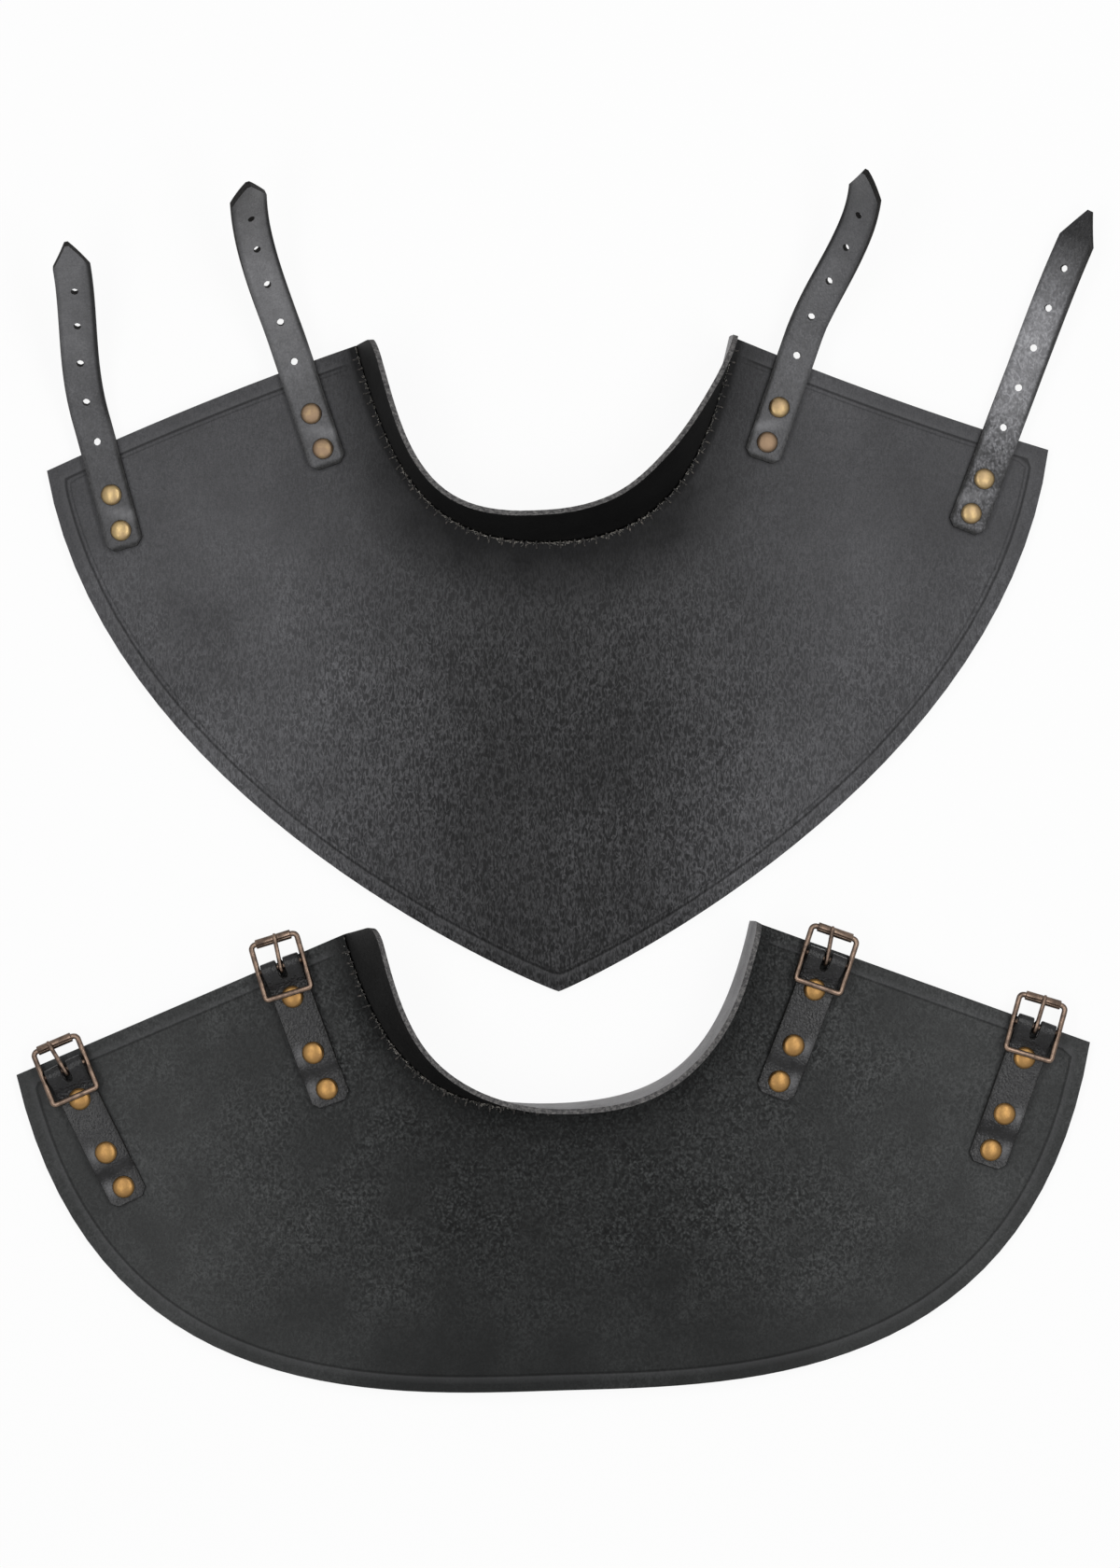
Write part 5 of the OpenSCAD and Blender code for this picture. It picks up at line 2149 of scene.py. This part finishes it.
@dataclass
class Studio:
    """The pale table, the soft lights and the camera straight above."""

    frame_h: float = 0.672
    camera_h: float = 5.0
    centre: tuple[float, float] = (0.00227, 0.00006)
    sensor: float = 36.0
    table_half: float = 4.0
    table_drop: float = 0.0006
    paint: tuple[float, float, float, float] = (0.92, 0.92, 0.92, 1)
    white: tuple[float, float, float, float] = (1, 1, 1, 1)
    glow_share: float = 0.92
    fill: float = 0.22
    box: tuple[float, float] = (0.5, 1.8)

    def build(self) -> None:
        """Sets the whole studio up."""
        self.camera()
        self.table()
        self.world()
        self.lamps()

    def camera(self) -> None:
        """Aims a long lens straight down."""
        data = bpy.data.cameras.new("camera")
        data.sensor_fit = "VERTICAL"
        data.sensor_height = self.sensor
        data.lens = self.sensor * self.camera_h / self.frame_h
        data.clip_end = 20
        camera = bpy.data.objects.new("camera", data)
        camera.location = (self.centre[0], self.centre[1], self.camera_h)
        bpy.context.scene.collection.objects.link(camera)
        bpy.context.scene.camera = camera

    def table(self) -> None:
        """Lays a white table top that keeps the gorget's shadow."""
        bm = bmesh.new()
        bmesh.ops.create_grid(bm, x_segments=1, y_segments=1, size=self.table_half)
        bmesh.ops.translate(bm, verts=bm.verts, vec=(0, 0, -self.table_drop))
        mesh = bpy.data.meshes.new("table_top")
        bm.to_mesh(mesh)
        bm.free()
        material = bpy.data.materials.new("white table")
        material.use_nodes = True
        tree = material.node_tree
        tree.nodes.clear()
        paint = node(tree, "BsdfDiffuse", {"Color": self.paint})
        glow = node(tree, "Emission", {"Color": self.white, "Strength": 1.0})
        share = node(tree, "Math", {0: self.seen(tree), 1: self.glow_share}, operation="MULTIPLY")
        node(tree, "OutputMaterial", {"Surface": node(tree, "MixShader", {0: share, 1: paint, 2: glow})})
        mesh.materials.append(material)
        top = bpy.data.objects.new("table_top", mesh)
        bpy.context.scene.collection.objects.link(top)

    def world(self) -> None:
        """Fills the room with even light, white where it is seen."""
        world = bpy.data.worlds.new("room")
        bpy.context.scene.world = world
        world.use_nodes = True
        tree = world.node_tree
        tree.nodes.clear()
        fill, bright = (
            node(tree, "Background", {"Color": self.white, "Strength": strength})
            for strength in (self.fill, 1.0)
        )
        room = node(tree, "MixShader", {0: self.seen(tree), 1: fill, 2: bright})
        node(tree, "OutputWorld", {"Surface": room})

    def seen(self, tree: NodeTree) -> Node:
        """Tells the rays of the camera and of mirror-like and clear surfaces, which see a white room.

        Args:
            tree: the material's or world's node tree.

        Returns:
            1 for such a ray and 0 for the others.
        """
        rays = node(tree, "LightPath")
        sure = rays.outputs["Is Camera Ray"]
        for name in ("Is Glossy Ray", "Is Transmission Ray"):
            sure = node(tree, "Math", {0: sure, 1: rays.outputs[name]}, operation="ADD", use_clamp=True)
        return sure

    def lamps(self) -> None:
        """Hangs two long soft boxes, left and right of the camera, whose gloss falls on the flanks."""
        self.lamp("left_box", (-0.64, 0.05, 1.5), 10.0)
        self.lamp("right_box", (0.64, 0.3, 1.5), 12.6)

    def lamp(self, name: str, place: tuple[float, float, float], watts: float) -> None:
        """Adds one soft box that faces the gorget across its long side.

        Args:
            name: the lamp's name.
            place: where it hangs, in metres.
            watts: its power.
        """
        data = bpy.data.lights.new(name, "AREA")
        data.shape = "RECTANGLE"
        data.size, data.size_y = self.box
        data.energy = watts
        lamp = bpy.data.objects.new(name, data)
        lamp.location = place
        lamp.rotation_euler = (0, math.atan2(place[0], place[2]), 0)
        bpy.context.scene.collection.objects.link(lamp)


def main() -> None:
    """Builds the gorget's pieces in order and reports each."""
    logging.basicConfig(level=logging.INFO, format="%(message)s")
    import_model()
    bpy.context.scene.view_settings.view_transform = "Standard"
    Studio().build()
    finishes = Finishes()
    straps = [RivetedStrap(number, lay, finishes) for number, lay in zip(SIDES, STRAP_LAYS)]
    chapes = [FoldedChape(number, lay, finishes) for number, lay in zip(SIDES, BUCKLE_LAYS)]
    pressed = {
        "front": [strap.footprint() for strap in straps],
        "back": [chape.footprint() for chape in chapes],
    }
    for half, hide in ((FRONT, finishes.front), (BACK, finishes.back)):
        PlateHide(half, hide, finishes, pressed[half.name]).build()
        collar = StandingCollar(half, finishes)
        collar.build()
        SeamStitches(collar, finishes).build()
        LOG.info("%s half: plate, collar and seam", half.name)
    for strap in straps:
        number, lay = strap.number, strap.lay
        strap.build()
        post = strap.thickness + 1.5 * SEAT_GAP + FRONT.thickness
        seats, unders = strap.rivet_frames(), strap.under_frames()
        CapRivets(
            f"strap_{number}", FRONT, seats, unders, (post, post), finishes, strap.cap_r, gold=lay.gold
        ).build()
        LOG.info("strap %d: strap and rivets", number)
    for chape in chapes:
        number = chape.number
        chape.build()
        long_post = chape.stack + BACK.thickness + SEAT_GAP / 2
        posts = (long_post, long_post, chape.thickness + 1.5 * SEAT_GAP + BACK.thickness)
        seats, unders = chape.rivet_frames(), chape.under_frames()
        CapRivets(f"chape_{number}", BACK, seats, unders, posts, finishes, chape.cap_r).build()
        RollerBuckle(number, chape, finishes).build()
        LOG.info("buckle %d: chape, rivets and buckle", number)


if __name__ == "__main__":
    main()
